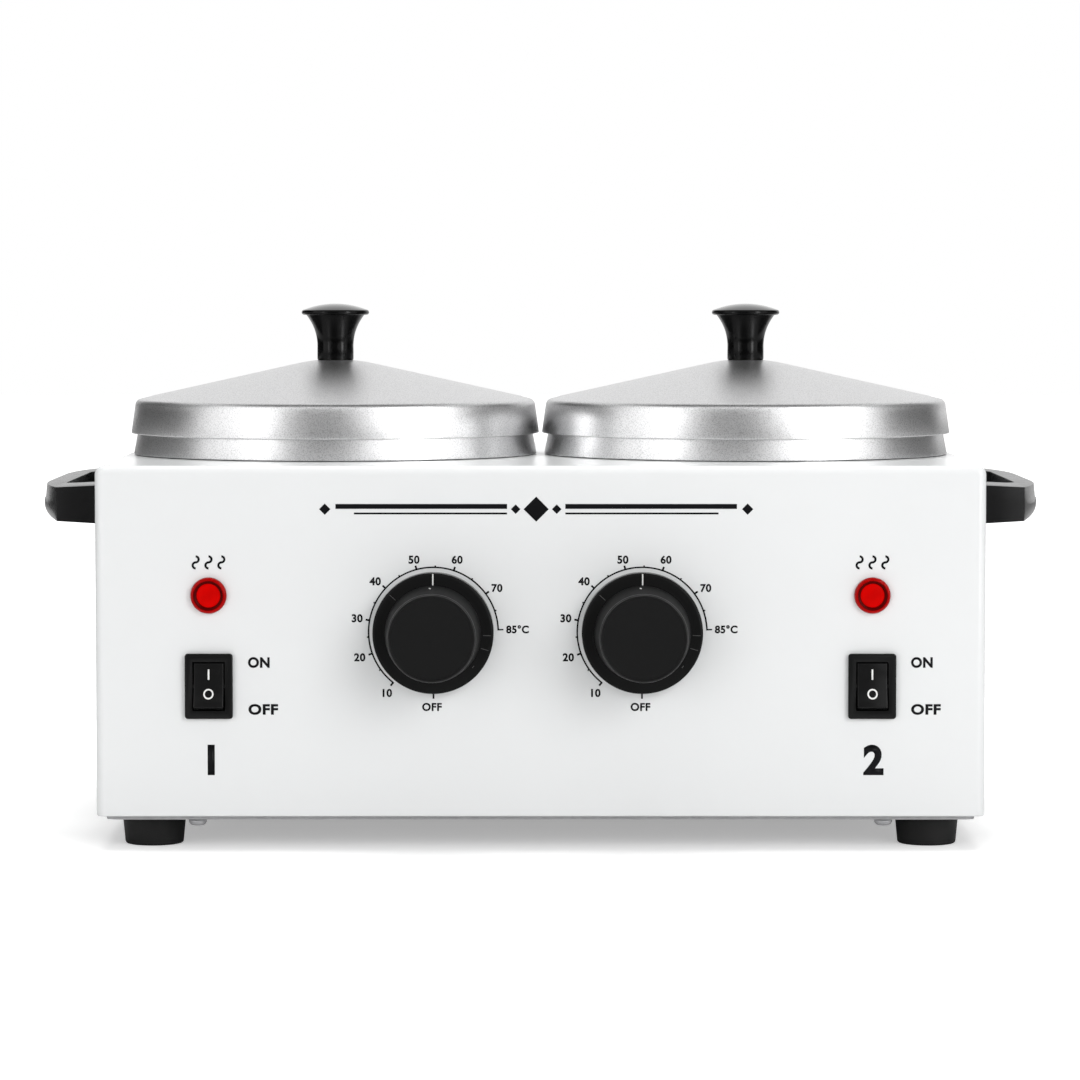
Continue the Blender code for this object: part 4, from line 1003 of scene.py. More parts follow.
@dataclass
class Vessels:
    """Spun wells, lift-out pots and lids with turned knobs."""

    frame: dict
    steps: int = 128
    pot_wall: float = 0.0012
    pot_bore: float = 0.0605
    pot_rim: float = 0.0672
    pot_skirt: float = 0.07015
    pot_gap: float = 0.0003
    pot_edge: float = 0.0002
    rim_round: float = 0.0020
    floor_round: float = 0.006
    lid_wall: float = 0.0012
    lid_skirt: float = 0.0710
    lid_shoulder: float = 0.0694
    lid_skirt_height: float = 0.0115
    lid_round: float = 0.0018
    lid_slope: float = math.tan(math.radians(13.0))
    lid_crown: float = 0.014
    lid_bore: float = 0.0022
    lid_edge: float = 0.00025
    well_wall: float = 0.001
    well_bore: float = 0.0623
    well_flange: float = 0.0672
    well_rounds: Point = (0.006, 0.0010)
    knob_height: float = 0.0193
    knob_radius: float = 0.01175
    knob_dome: Point = (0.0110, 0.0021)
    knob_rim: float = 0.0018
    knob_neck: float = 0.0101
    knob_stem: Point = (0.0063, 0.0045)
    knob_flare: float = 2.2
    knob_drop: float = 0.0003
    knob_seat: float = 0.0004
    knob_foot: float = 0.0002
    knob_bore: float = 0.0105

    def build(self) -> None:
        """Model and dress both sides."""
        for side in Side:
            low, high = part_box(f"{side.word}_pot")
            axis = Vector(((low.x + high.x) / 2, (low.y + high.y) / 2, 0))
            self.well(side, axis)
            self.pot(side, axis)
            self.lid(side, axis)
            self.knob(side, axis)
            dress(self.frame, MICA, f"{side.word}_band_heater")
            dress(self.frame, ZINC, f"{side.word}_tie_rod")
            dress(self.frame, CERAMIC, f"{side.word}_thermal_cutout")

    def well(self, side: Side, axis: Vector) -> None:
        """Spin the heated well that hangs in the cover by its flange."""
        low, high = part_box(f"{side.word}_well")
        floor = low.z + self.well_wall
        line = rounded([(0, floor, 0), (self.well_bore, floor, self.well_rounds[0]),
                        (self.well_bore, high.z, self.well_rounds[1]), (self.well_flange, high.z, 0)])
        piece = Workpiece.turned(f"{side.word}_heated_well", walled(line, self.well_wall), self.steps)
        piece.smooth(30).placed(axis)
        piece.finished(BRIGHT_ALUMINIUM.material(side.word, (axis.x, axis.y, floor)), "housing",
                       f"{side.word}_well", slot="spun_aluminium")

    def pot(self, side: Side, axis: Vector) -> None:
        """Spin the pot: round floor, straight wall, rolled rim and flared skirt."""
        low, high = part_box(f"{side.word}_pot")
        floor = low.z + self.pot_wall
        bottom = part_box("housing_shell")[1].z + self.pot_gap
        line = rounded([(0, floor, 0), (self.pot_bore, floor, self.floor_round),
                        (self.pot_bore, high.z, self.rim_round), (self.pot_rim, high.z, self.rim_round),
                        (self.pot_skirt, bottom, 0)])
        piece = Workpiece.turned(f"{side.word}_wax_pot", walled(line, self.pot_wall), self.steps)
        piece.softened(self.pot_edge, 2, 60).smooth(30).placed(axis)
        piece.finished(SATIN_ALUMINIUM.material(side.word, (axis.x, axis.y, floor)), f"{side.word}_pot",
                       f"{side.word}_pot", slot="spun_aluminium")

    def lid(self, side: Side, axis: Vector) -> None:
        """Spin the lid: a shallow cone, a round shoulder and a flared skirt."""
        low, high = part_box(f"{side.word}_lid")
        crown = [(radius, high.z - self.lid_slope * radius ** 2 / (2 * self.lid_crown))
                 for radius in (self.lid_bore + (self.lid_crown - self.lid_bore) * step / 10
                                for step in range(11))]
        shoulder = low.z + self.lid_skirt_height
        line = crown + rounded([(*crown[-1], 0), (self.lid_shoulder, shoulder, self.lid_round),
                                (self.lid_skirt, low.z, 0)])[1:]
        piece = Workpiece.turned(f"{side.word}_cone_lid", walled(line, self.lid_wall), self.steps,
                                 closed=True)
        piece.softened(self.lid_edge, 2, 60).smooth(30).placed(axis)
        piece.finished(SATIN_ALUMINIUM.material(f"{side.word} lid", (axis.x, axis.y, high.z)),
                       f"{side.word}_lid", f"{side.word}_lid", slot="spun_aluminium")

    def knob(self, side: Side, axis: Vector) -> None:
        """Turn the lid's knob: a dome, a thin rim and a waisted stem."""
        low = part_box(f"{side.word}_lid_knob")[0]
        stem, waist = self.knob_stem
        edge, rise = self.knob_dome
        bend = (edge ** 2 + rise ** 2) / (2 * rise)
        half = self.knob_rim / 2
        middle = self.knob_height - rise - half
        dome = arc((0, self.knob_height - bend), (bend, bend), 90,
                   90 - math.degrees(math.asin(edge / bend)), 16)
        rim = arc((self.knob_radius - half, middle), (half, half), 75, -90, 12)
        under = middle - half
        neck = [(stem + (self.knob_neck - stem) * share ** self.knob_flare, waist + (under - waist) * share)
                for share in (1 - step / 24 for step in range(25))]
        profile = dome + rim + neck + [(stem, self.knob_foot), (stem - self.knob_foot, -self.knob_seat),
                                       (self.lid_bore, -self.knob_seat), (self.lid_bore, self.knob_bore),
                                       (0.0, self.knob_bore)]
        piece = Workpiece.turned(f"{side.word}_turned_knob", profile, 96).smooth(38)
        seat = Vector((axis.x, axis.y, low.z - self.knob_drop))
        piece.placed(seat)
        piece.finished(GLOSS_BLACK.material(side.word, tuple(seat)), f"{side.word}_lid",
                       f"{side.word}_lid_knob", slot="gloss_black")


@dataclass
class Handles:
    """Side handles: a bar on two arms, round below and stepped above its parting line."""

    frame: dict
    face: float = 0.0148
    corner_run: float = 0.0500
    corner_lead: float = 0.0220
    lower_round: float = 0.0046
    lower_keep: float = 0.49
    rise: float = 0.0007
    root_drop: float = 0.0009
    parting_drop: float = 0.0051
    step: float = 0.0005
    draft: float = 0.0005
    bar: float = 0.0081
    arm: float = 0.0300
    window_corner: float = 0.0050
    overrun: float = 0.003
    edge_round: float = 0.0009

    def build(self) -> None:
        """Model and dress both handles."""
        for side in Side:
            self.handle(side)

    def handle(self, side: Side) -> None:
        """Extrude the plan up and down from its widest line, and cut the finger gap."""
        sign = side.value
        low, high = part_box(f"{side.word}_handle")
        root = low.x if sign > 0 else high.x
        reach = high.x - low.x
        half = (high.y - low.y) / 2
        middle = (low.y + high.y) / 2
        bottom = low.z + self.root_drop
        line = bottom + self.lower_round
        corner = []
        for index in range(25):
            share = index / 24
            corner.append((self.face + (reach - self.face) * (1 - (1 - share) ** 2),
                           half - 2 * self.corner_lead * share * (1 - share) - self.corner_run * share ** 2))
        plan = [(0.0, -half)] + [(x, -y) for x, y in corner] + corner[::-1] + [(0.0, half)]
        points = [(root + sign * x, middle + y, line) for x, y in plan]
        piece = Workpiece.line(f"{side.word}_side_handle", points, True)
        bpy.ops.mesh.edge_face_add()
        edge = root + sign * self.face
        turns = [math.radians(90 - 10 * index) for index in range(10)]
        levels = [(line, 1.0)] + [(bottom + self.lower_round * (1 - math.cos(turn)),
                                   1 - (1 - self.lower_keep) * (1 - math.sin(turn))) for turn in turns[1:]]
        bpy.ops.mesh.duplicate()
        self.raise_levels(piece, levels, edge, sign)
        piece.pick(Part.VERTS, lambda spot: spot.z < bottom + CLOSE and abs(spot.x - root) < 0.0001)
        bpy.ops.transform.translate(value=(0, 0, -self.root_drop))
        parting = high.z - self.parting_drop
        wide = reach - self.face
        piece.pick(Part.FACES, lambda spot: abs(spot.z - line) < CLOSE)
        self.raise_levels(piece, [(line, 1.0), (parting, 1.0), (parting + self.step, 1 - self.step / wide),
                                  (high.z, 1 - (self.step + self.draft) / wide)], edge, sign)
        piece.pick(Part.FACES, lambda spot: abs(spot.z - line) < CLOSE)
        bpy.ops.mesh.delete(type="ONLY_FACE")
        piece.pick(Part.VERTS, lambda spot: spot.z > high.z - CLOSE and abs(spot.x - root) < 0.0001)
        bpy.ops.transform.translate(value=(0, 0, self.rise))
        piece.mended()
        inner = reach - self.bar
        ends = sorted((root - sign * self.overrun, root + sign * inner))
        window = Workpiece.block("tool", (ends[0], middle - half + self.arm, low.z - self.overrun),
                                 (ends[1], middle + half - self.arm, high.z + self.overrun))
        window.edit().pick_edges_along(2, lambda spot: (spot.x - root) * sign > 0)
        bpy.ops.mesh.bevel(offset=self.window_corner, segments=8, profile=0.5, affect="EDGES")
        piece.cut(window)
        piece.softened(self.edge_round, 3, 50).smooth(34)
        piece.finished(HANDLE_BLACK.material(), "housing", f"{side.word}_handle", slot="black_plastic")

    @staticmethod
    def raise_levels(piece: Workpiece, levels: Sequence[Point], edge: float, sign: int) -> None:
        """Extrude the selected face from level to level, and narrow it outside an edge.

        Args:
            piece: The handle, in edit mode with one face selected.
            levels: Each level's height and the share of the outer width that it keeps.
            edge: Where the outer width begins.
            sign: The side's sign.
        """
        for (before, width), (after, share) in zip(levels, levels[1:]):
            bpy.ops.mesh.extrude_region_move(TRANSFORM_OT_translate={"value": (0, 0, after - before)})
            mesh = bmesh.from_edit_mesh(piece.thing.data)
            kept = [vert for vert in mesh.verts if vert.select]
            for vert in kept:
                vert.select_set((vert.co.x - edge) * sign > CLOSE)
            mesh.select_flush_mode()
            bmesh.update_edit_mesh(piece.thing.data)
            if share != width:
                for vert in kept:
                    if (vert.co.x - edge) * sign > CLOSE:
                        vert.co.x = edge + (vert.co.x - edge) * share / width
            for vert in kept:
                vert.select_set(True)
            mesh.select_flush(True)
            bmesh.update_edit_mesh(piece.thing.data)


@dataclass
class Dials:
    """Dial knobs with a round skirt, a pointer and a raised cap."""

    frame: dict
    steps: int = 128
    reach: float = 0.028
    skirt: float = 0.01975
    skirt_back: float = 0.0010
    skirt_front: float = 0.0072
    skirt_round: float = 0.0010
    hub: float = 0.0158
    cap: float = 0.01425
    recess: Point = (0.0090, 0.0055)
    bore: float = 0.0033
    bore_depth: float = 0.0200
    pointer: Point = (0.00042, 0.0040)
    pointer_setback: float = 0.0003
    mark_lift: float = 0.00006
    worn_marks: tuple[float, ...] = (-48, 92, 107)
    dot_size: Place = (0.00038, 0.0008, 0.0002)
    dot_shift: Place = (-0.0008, 0.0080, 0.0005)
    dot_turn: float = 0.35

    def build(self) -> None:
        """Model both knobs and their marks, and dress what lies behind them."""
        for side in Side:
            low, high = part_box(f"{side.word}_dial_knob")
            place = Vector(((low.x + high.x) / 2, high.y + self.skirt_back, (low.z + high.z) / 2))
            self.knob(side, place)
            self.marks(side, place)
            dress(self.frame, ZINC, f"{side.word}_thermostat_shaft", f"{side.word}_thermostat",
                  f"{side.word}_panel_nut")
            dress(self.frame, COPPER, f"{side.word}_capillary")

    def knob(self, side: Side, place: Vector) -> None:
        """Turn the knob, with a fine raised line round its cap."""
        cap, front = self.cap, self.reach
        corners = [(0, front - 0.0004, 0), (cap - 0.0011, front - 0.0004, 0.0001),
                   (cap - 0.0009, front - 0.0001, 0.0001), (cap - 0.0005, front, 0.0002),
                   (cap, front - 0.0006, 0.0004), (self.hub, self.skirt_front, 0.0002),
                   (self.skirt, self.skirt_front, self.skirt_round), (self.skirt, self.skirt_back, 0.0003),
                   (self.recess[0], self.skirt_back, 0), (self.recess[0], self.recess[1], 0),
                   (self.bore, self.recess[1], 0), (self.bore, self.bore_depth, 0),
                   (0, self.bore_depth, 0)]
        piece = Workpiece.turned(f"{side.word}_turning_dial", rounded(corners, 5), self.steps)
        piece.smooth(38).placed(place, Facing.FORWARD)
        piece.finished(DIAL_BLACK.material(side.word, (place.x, place.y - self.skirt_back, place.z)),
                       f"{side.word}_dial", f"{side.word}_dial_knob", slot="black_plastic")

    def marks(self, side: Side, place: Vector) -> None:
        """Print the pointer line on the skirt, the dot on the cap's side and worn marks round them."""
        width, length = self.pointer
        line = Workpiece.bar("line", width, length, (0, self.skirt - self.pointer_setback - length / 2))
        front = place.y - self.skirt_front - self.mark_lift
        line.placed((place.x, front, place.z)).modified("SOLIDIFY", thickness=0.00008, offset=0)
        line.thing.name = f"{side.word}_dial_pointer"
        line.finished(WHITE_MARK.material(), f"{side.word}_dial")
        worn = [Workpiece.bar("worn", 0.00022, 0.0026, (0, 0.0176)).spun(math.radians(angle))
                for angle in self.worn_marks]
        worn.append(Workpiece.band("worn", (0.01685, 0.0171), 128, 131, 3))
        worn[0].joined(worn[1:]).placed((place.x, front, place.z))
        worn[0].modified("SOLIDIFY", thickness=0.00006, offset=0)
        worn[0].thing.name = f"{side.word}_dial_worn_marks"
        worn[0].finished(GREY_MARK.material(), f"{side.word}_dial")
        self.dot(side, place)

    def dot(self, side: Side, place: Vector) -> None:
        """Set the small slanting dot on the sloping side of the cap."""
        Workpiece.bench()
        across, forward, down = self.dot_shift
        bpy.ops.mesh.primitive_uv_sphere_add(
            segments=24, ring_count=12, radius=1, rotation=(0.0, self.dot_turn, 0.0),
            location=(across, -self.skirt_front - forward, self.hub - down))
        piece = Workpiece.made(f"{side.word}_dial_dot", self.dot_size).smooth(60).placed(place)
        piece.finished(WHITE_MARK.material(), f"{side.word}_dial")


@dataclass
class Switches:
    """Rocker switches in their frames, with their on and off marks."""

    frame: dict
    bezel: Place = (0.0157, 0.0214, 0.0018)
    body: Place = (0.0130, 0.0192, 0.0190)
    rocker_width: float = 0.0098
    rocker_radius: float = 0.0077
    waist: float = 0.0012
    valley: float = 0.0045
    swing: float = math.radians(22)
    pivot_reach: float = 0.0007
    back_angle: float = 26.0
    seat: float = 0.0003
    bezel_corner: float = 0.0010
    bezel_round: float = 0.0005
    terminal: Place = (0.0030, 0.0045, 0.0004)
    clearance: Point = (0.0004, 0.0003)
    pin: Point = (0.0009, 0.0016)
    bar: Point = (0.00054, 0.0034)
    bar_rise: float = 0.0039
    ring: Point = (0.00118, 0.00168)
    ring_drop: float = 0.0024

    def build(self) -> None:
        """Model and dress both switches."""
        for side in Side:
            low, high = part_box(f"{side.word}_switch_frame")
            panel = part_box("housing_shell")[0].y
            place = Vector(((low.x + high.x) / 2, panel, (low.z + high.z) / 2))
            self.surround(side, place)
            self.rocker(side, place)

    def surround(self, side: Side, place: Vector) -> None:
        """Shape the bezel and the body behind it, and cut the rocker's pocket."""
        width, height, reach = self.bezel
        front = -reach - self.seat
        bezel = Workpiece.block(f"{side.word}_switch_surround", (-width / 2, front, -height / 2),
                                (width / 2, -self.seat, height / 2))
        bezel.edit().pick_edges_along(1, lambda spot: True)
        bpy.ops.mesh.bevel(offset=self.bezel_corner, segments=5, profile=0.5, affect="EDGES")
        bezel.alone().softened(self.bezel_round, 4, 40)
        deep, tall, back = self.body
        bezel.grown(Workpiece.block("tool", (-deep / 2, -0.0010, -tall / 2), (deep / 2, back, tall / 2)))
        half, rise, thin = self.terminal
        for way in (-1, 1):
            bezel.grown(Workpiece.block("tool", (-half, back - 0.001, way * rise - thin),
                                        (half, back + 0.007, way * rise + thin)))
        clear = self.rocker_radius + self.clearance[1]
        across = self.rocker_width / 2 + self.clearance[0]
        bezel.cut(Workpiece.block("tool", (-across, front - 0.003, -clear),
                                  (across, clear - self.pivot_reach, clear)))
        bezel.softened(0.00012, 2, 60).smooth(35).placed(place)
        bezel.finished(SWITCH_BLACK.material(), "housing", f"{side.word}_switch_frame", slot="gloss_black")

    def rocker(self, side: Side, place: Vector) -> None:
        """Extrude the rocker's side view and soften it, then print its marks."""
        tilt = self.swing / 2
        angle = math.degrees(tilt + math.asin(self.waist * math.cos(tilt) / self.rocker_radius))
        radii = (self.rocker_radius, self.rocker_radius)
        outline = arc((0, 0), radii, 90 + self.back_angle, 90 - angle, 16)
        lower = arc((0, 0), radii, angle - 90, -90 - self.back_angle, 16)
        outline += rounded([(*outline[-1], 0), (self.waist, 0, self.valley), (*lower[0], 0)], 12)[1:-1]
        outline += lower
        turn = [(out * math.cos(tilt) - up * math.sin(tilt), out * math.sin(tilt) + up * math.cos(tilt))
                for out, up in outline]
        across = self.rocker_width / 2
        piece = Workpiece.prism(f"{side.word}_rocker_cap", [(-across, -out, up) for out, up in turn],
                                (2 * across, 0, 0))
        piece.softened(0.00035, 3, 45).smooth(35)
        pivot = place + Vector((0, -self.pivot_reach, 0))
        piece.grown(Workpiece.rod("tool", self.pin[0], 2 * across + self.pin[1], 24, Facing.RIGHTWARD,
                                  (0, 0, 0)))
        piece.placed(pivot)
        piece.finished(SWITCH_BLACK.material(), f"{side.word}_rocker", f"{side.word}_rocker",
                       slot="gloss_black")
        self.marks(side, pivot, piece)

    def marks(self, side: Side, pivot: Vector, rocker: Workpiece) -> None:
        """Print the bar on the upper face and the ring on the lower one, each laid on the curved face."""
        for name, shape in (("on_bar", Workpiece.bar("mark", *self.bar, (0.0, self.bar_rise))),
                            ("off_ring", Workpiece.band("mark", self.ring, 0, 360, 64))):
            if name == "on_bar":
                shape.edit().pick(Part.FACES, lambda spot: True)
                bpy.ops.mesh.subdivide(number_cuts=11)
            else:
                shape.placed((0.0, 0.0, -self.ring_drop))
            shape.placed(pivot - Vector((0, 0.004, 0)))
            shape.modified("SHRINKWRAP", target=rocker.thing, wrap_method="PROJECT", use_project_y=True,
                           use_negative_direction=True, use_positive_direction=True, offset=0.00004)
            shape.modified("SOLIDIFY", thickness=0.00005, offset=0)
            shape.thing.name = f"{side.word}_{name}"
            shape.finished(WHITE_MARK.material(), f"{side.word}_rocker")


@dataclass
class Lamps:
    """Indicator lamps: a glossy red ring round a lit lens."""

    frame: dict
    radius: float = 0.00595
    reach: float = 0.0026
    lens: float = 0.00395
    sunk: float = 0.0006
    lens_gap: float = 0.00005
    lens_rise: float = 0.0004
    barrel: Point = (0.0048, 0.020)
    tail: Point = (0.0036, 0.006)

    def build(self) -> None:
        """Model and dress both lamps."""
        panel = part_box("housing_shell")[0].y
        for side in Side:
            low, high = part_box(f"{side.word}_lamp")
            place = Vector(((low.x + high.x) / 2, panel, (low.z + high.z) / 2))
            back = -self.barrel[1]
            profile = rounded([(0, 0.0004, 0), (self.lens, 0.0004, 0),
                               (self.lens, self.reach - 0.0010, 0.0002),
                               (self.lens + 0.0006, self.reach - 0.0002, 0.0004),
                               (self.radius - 0.0006, self.reach, 0.0006),
                               (self.radius, self.reach - 0.0012, 0.0005), (self.radius, 0.0003, 0.0001),
                               (self.barrel[0], 0.0003, 0), (self.barrel[0], back, 0),
                               (self.tail[0], back, 0), (self.tail[0], back - self.tail[1], 0),
                               (0, back - self.tail[1], 0)], 5)
            ring = Workpiece.turned(f"{side.word}_lamp_ring", profile, 96).smooth(40)
            ring.placed(place, Facing.FORWARD)
            ring.finished(RED_RING.material(), "housing", f"{side.word}_lamp", slot="red_lens")
            top = self.reach - self.sunk
            edge = self.lens - self.lens_gap
            dome = arc((0, top - self.lens_rise), (edge, self.lens_rise), 90, 20, 12)
            lens = Workpiece.turned(f"{side.word}_lamp_lens", dome + [(edge, 0.0005), (0.0, 0.0005)], 96)
            lens.smooth(40).placed(place, Facing.FORWARD)
            lens.finished(RED_GLOW.material(side.word, tuple(place)), "housing", slot="red_lens")
            rim = [(self.lens, top - 0.0007), (self.lens, top + 0.0001),
                   (self.lens + 0.0006, self.reach + 0.00003), (self.lens + 0.00088, self.reach + 0.00004),
                   (self.lens + 0.00088, self.reach - 0.0006)]
            shade = Workpiece.turned(f"{side.word}_lamp_shaded_rim", rim, 96, closed=True)
            shade.smooth(40).placed(place, Facing.FORWARD)
            shade.finished(RED_WELL.material(), "housing", slot="red_lens")
            dress(self.frame, HANDLE_BLACK, f"{side.word}_lamp_nut")


@dataclass
class PanelPrint:
    """Black marks printed on the front panel: dial scales, switch words, numbers and an ornament."""

    frame: dict
    thickness: float = 0.00006
    arc_radius: float = 0.0212
    arc_line: float = 0.00050
    labels: tuple[tuple[str, float, float, float], ...] = (
        ("10", 218.5, -0.0151, -0.0200), ("20", 250.6, -0.0241, -0.0083), ("30", 280.4, -0.0249, 0.0045),
        ("40", 312.5, -0.0190, 0.0166), ("50", 345.0, -0.0063, 0.0237), ("60", 378.4, 0.0078, 0.0237),
        ("70", 413.8, 0.0208, 0.0144), ("85°C", 448.0, 0.0275, 0.0009))
    off_label: tuple[str, float, float, float] = ("OFF", 180.0, -0.0005, -0.0246)
    number_height: float = 0.0027
    word_height: float = 0.00355
    number_weight: float = 0.036
    word_weight: float = 0.041
    pot_number_height: float = 0.0100
    pot_number_weight: float = 0.04
    wave: Point = (0.00062, 0.00134)
    wave_pitch: Point = (0.0042, 0.00098)

    def build(self) -> None:
        """Print every mark and hand each group to the housing."""
        low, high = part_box("housing_shell")
        for side in Side:
            knob = middle_of(f"{side.word}_dial_knob")
            self.print(f"{side.word}_dial_scale", self.scale(), Vector((knob.x, low.y, knob.z)))
            switch = middle_of(f"{side.word}_switch_frame")
            self.print(f"{side.word}_switch_words", [
                Workpiece.lettering(words.lower(), words, (width, self.word_height), middle,
                                    self.word_weight)
                for words, width, middle in (("ON", 0.0071, (0.0163, 0.0077)),
                                             ("OFF", 0.0097, (0.0177, -0.0077)))
            ], Vector((switch.x, low.y, switch.z)))
            lamp = middle_of(f"{side.word}_lamp")
            self.print(f"{side.word}_heat_sign", self.heat_sign(), Vector((lamp.x, low.y, lamp.z + 0.0108)))
            number = "1" if side is Side.LEFT else "2"
            self.print(f"{side.word}_pot_number",
                       [Workpiece.lettering("number", number, (0.0, self.pot_number_height), (0, 0),
                                            self.pot_number_weight)],
                       Vector((switch.x + 0.0006, low.y, low.z + 0.0187)))
        self.print("front_ornament", self.ornament(), Vector((-0.0014, low.y, high.z - 0.0141)))

    def print(self, name: str, marks: Sequence[Workpiece], place: Vector) -> None:
        """Join flat marks, give them a little thickness and lay them on the panel."""
        piece = marks[0].joined(marks[1:])
        piece.thing.name = name
        piece.thing.data.name = name
        piece.modified("SOLIDIFY", thickness=self.thickness, offset=0)
        piece.mended().placed(place - Vector((0, self.thickness / 2 + 0.00001, 0)))
        piece.finished(BLACK_PRINT.material(), "housing")

    def scale(self) -> list[Workpiece]:
        """Draw a dial's arc, its ticks and its numbers."""
        radius, line = self.arc_radius, self.arc_line
        start, end = self.labels[0][1], self.labels[-1][1]
        marks = [Workpiece.band("arc", (radius - line / 2, radius + line / 2), start, end, 160)]
        angles = [label[1] for label in self.labels]
        for angle in angles[:-1]:
            marks.append(self.tick(angle, radius - 0.0002, radius + 0.0013, 0.00062))
        for before, after in zip(angles, angles[1:]):
            marks.append(self.tick((before + after) / 2, radius, radius + 0.0006, 0.00050))
        marks.append(self.tick(end, radius - line / 2, radius + 0.0017, 0.00045))
        marks.append(self.tick(self.off_label[1], 0.0200, 0.0219, 0.00058))
        for words, _, x, z in (*self.labels, self.off_label):
            marks.append(Workpiece.lettering("label", words, (0.0, self.number_height), (x, z),
                                             self.number_weight))
        return marks

    @staticmethod
    def tick(angle: float, inner: float, outer: float, width: float) -> Workpiece:
        """Draw one tick along a radius."""
        flat = Workpiece.bar("tick", width, outer - inner, (0, (inner + outer) / 2))
        return flat.spun(math.radians(angle))

    def heat_sign(self) -> list[Workpiece]:
        """Draw three rising waves."""
        marks = []
        for column in (-1, 0, 1):
            for row, start in ((-1, 180.0), (1, 0.0)):
                wave = Workpiece.band("wave", self.wave, start, start + 180.0, 16)
                wave.thing.location = (column * self.wave_pitch[0], 0, row * self.wave_pitch[1])
                marks.append(wave.settled())
        return marks

    @staticmethod
    def ornament() -> list[Workpiece]:
        """Draw a divider: a diamond between double rules that end in small diamonds."""
        quarter = math.radians(45)
        marks = [Workpiece.bar("diamond", 0.0058, 0.0058).spun(quarter)]
        for way in (-1, 1):
            marks.append(Workpiece.bar("rule", 0.0560, 0.0016, (way * 0.0375, 0.0009)))
            marks.append(Workpiece.bar("rule", 0.0500, 0.0006, (way * 0.0345, -0.0014)))
            marks.append(Workpiece.bar("small", 0.0022, 0.0022).spun(quarter, (way * 0.0067, 0.0)))
            marks.append(Workpiece.bar("small", 0.0026, 0.0026).spun(quarter, (way * 0.0690, 0.0)))
        return marks


@dataclass
class Supply:
    """Appliance inlet with its pins, and the terminal block."""

    frame: dict
    flange: Place = (0.0310, 0.0240, 0.0024)
    body: Place = (0.0275, 0.0200, 0.0200)
    socket: Place = (0.0240, 0.0165, 0.0150)
    gap: float = 0.0003
    flange_corner: float = 0.003
    socket_corner: float = 0.0035
    pin_room: Place = (0.0003, 0.001, 0.0003)

    def build(self) -> None:
        """Model the inlet and dress the rest."""
        low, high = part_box("power_inlet")
        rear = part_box("housing_shell")[1].y
        x, z = (low.x + high.x) / 2, (low.z + high.z) / 2
        wide, tall, thick = self.flange
        piece = Workpiece.block("inlet_socket", (x - wide / 2, rear + self.gap, z - tall / 2),
                                (x + wide / 2, rear + self.gap + thick, z + tall / 2))
        piece.edit().pick_edges_along(1, lambda spot: True)
        bpy.ops.mesh.bevel(offset=self.flange_corner, segments=6, profile=0.5, affect="EDGES")
        piece.alone().softened(0.0005, 3, 40)
        wide, tall, depth = self.body
        piece.grown(Workpiece.block("tool", (x - wide / 2, rear - depth, z - tall / 2),
                                    (x + wide / 2, rear + 0.0010, z + tall / 2)))
        wide, tall, depth = self.socket
        face = rear + self.gap + thick
        hole = Workpiece.block("tool", (x - wide / 2, face - depth, z - tall / 2),
                               (x + wide / 2, face + 0.003, z + tall / 2))
        hole.edit().pick_edges_along(1, lambda spot: True)
        bpy.ops.mesh.bevel(offset=self.socket_corner, segments=6, profile=0.5, affect="EDGES")
        piece.cut(hole)
        pins = ("live_pin", "neutral_pin", "earth_pin")
        for pin in pins:
            low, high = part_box(pin)
            room = Vector(self.pin_room)
            piece.cut(Workpiece.block("tool", low - room, high + room))
        piece.softened(0.00025, 2, 60).smooth(35)
        piece.finished(SWITCH_BLACK.material(), "housing", "power_inlet", slot="black_plastic")
        dress(self.frame, BRASS, *pins)
        dress(self.frame, CERAMIC, "terminal_block")


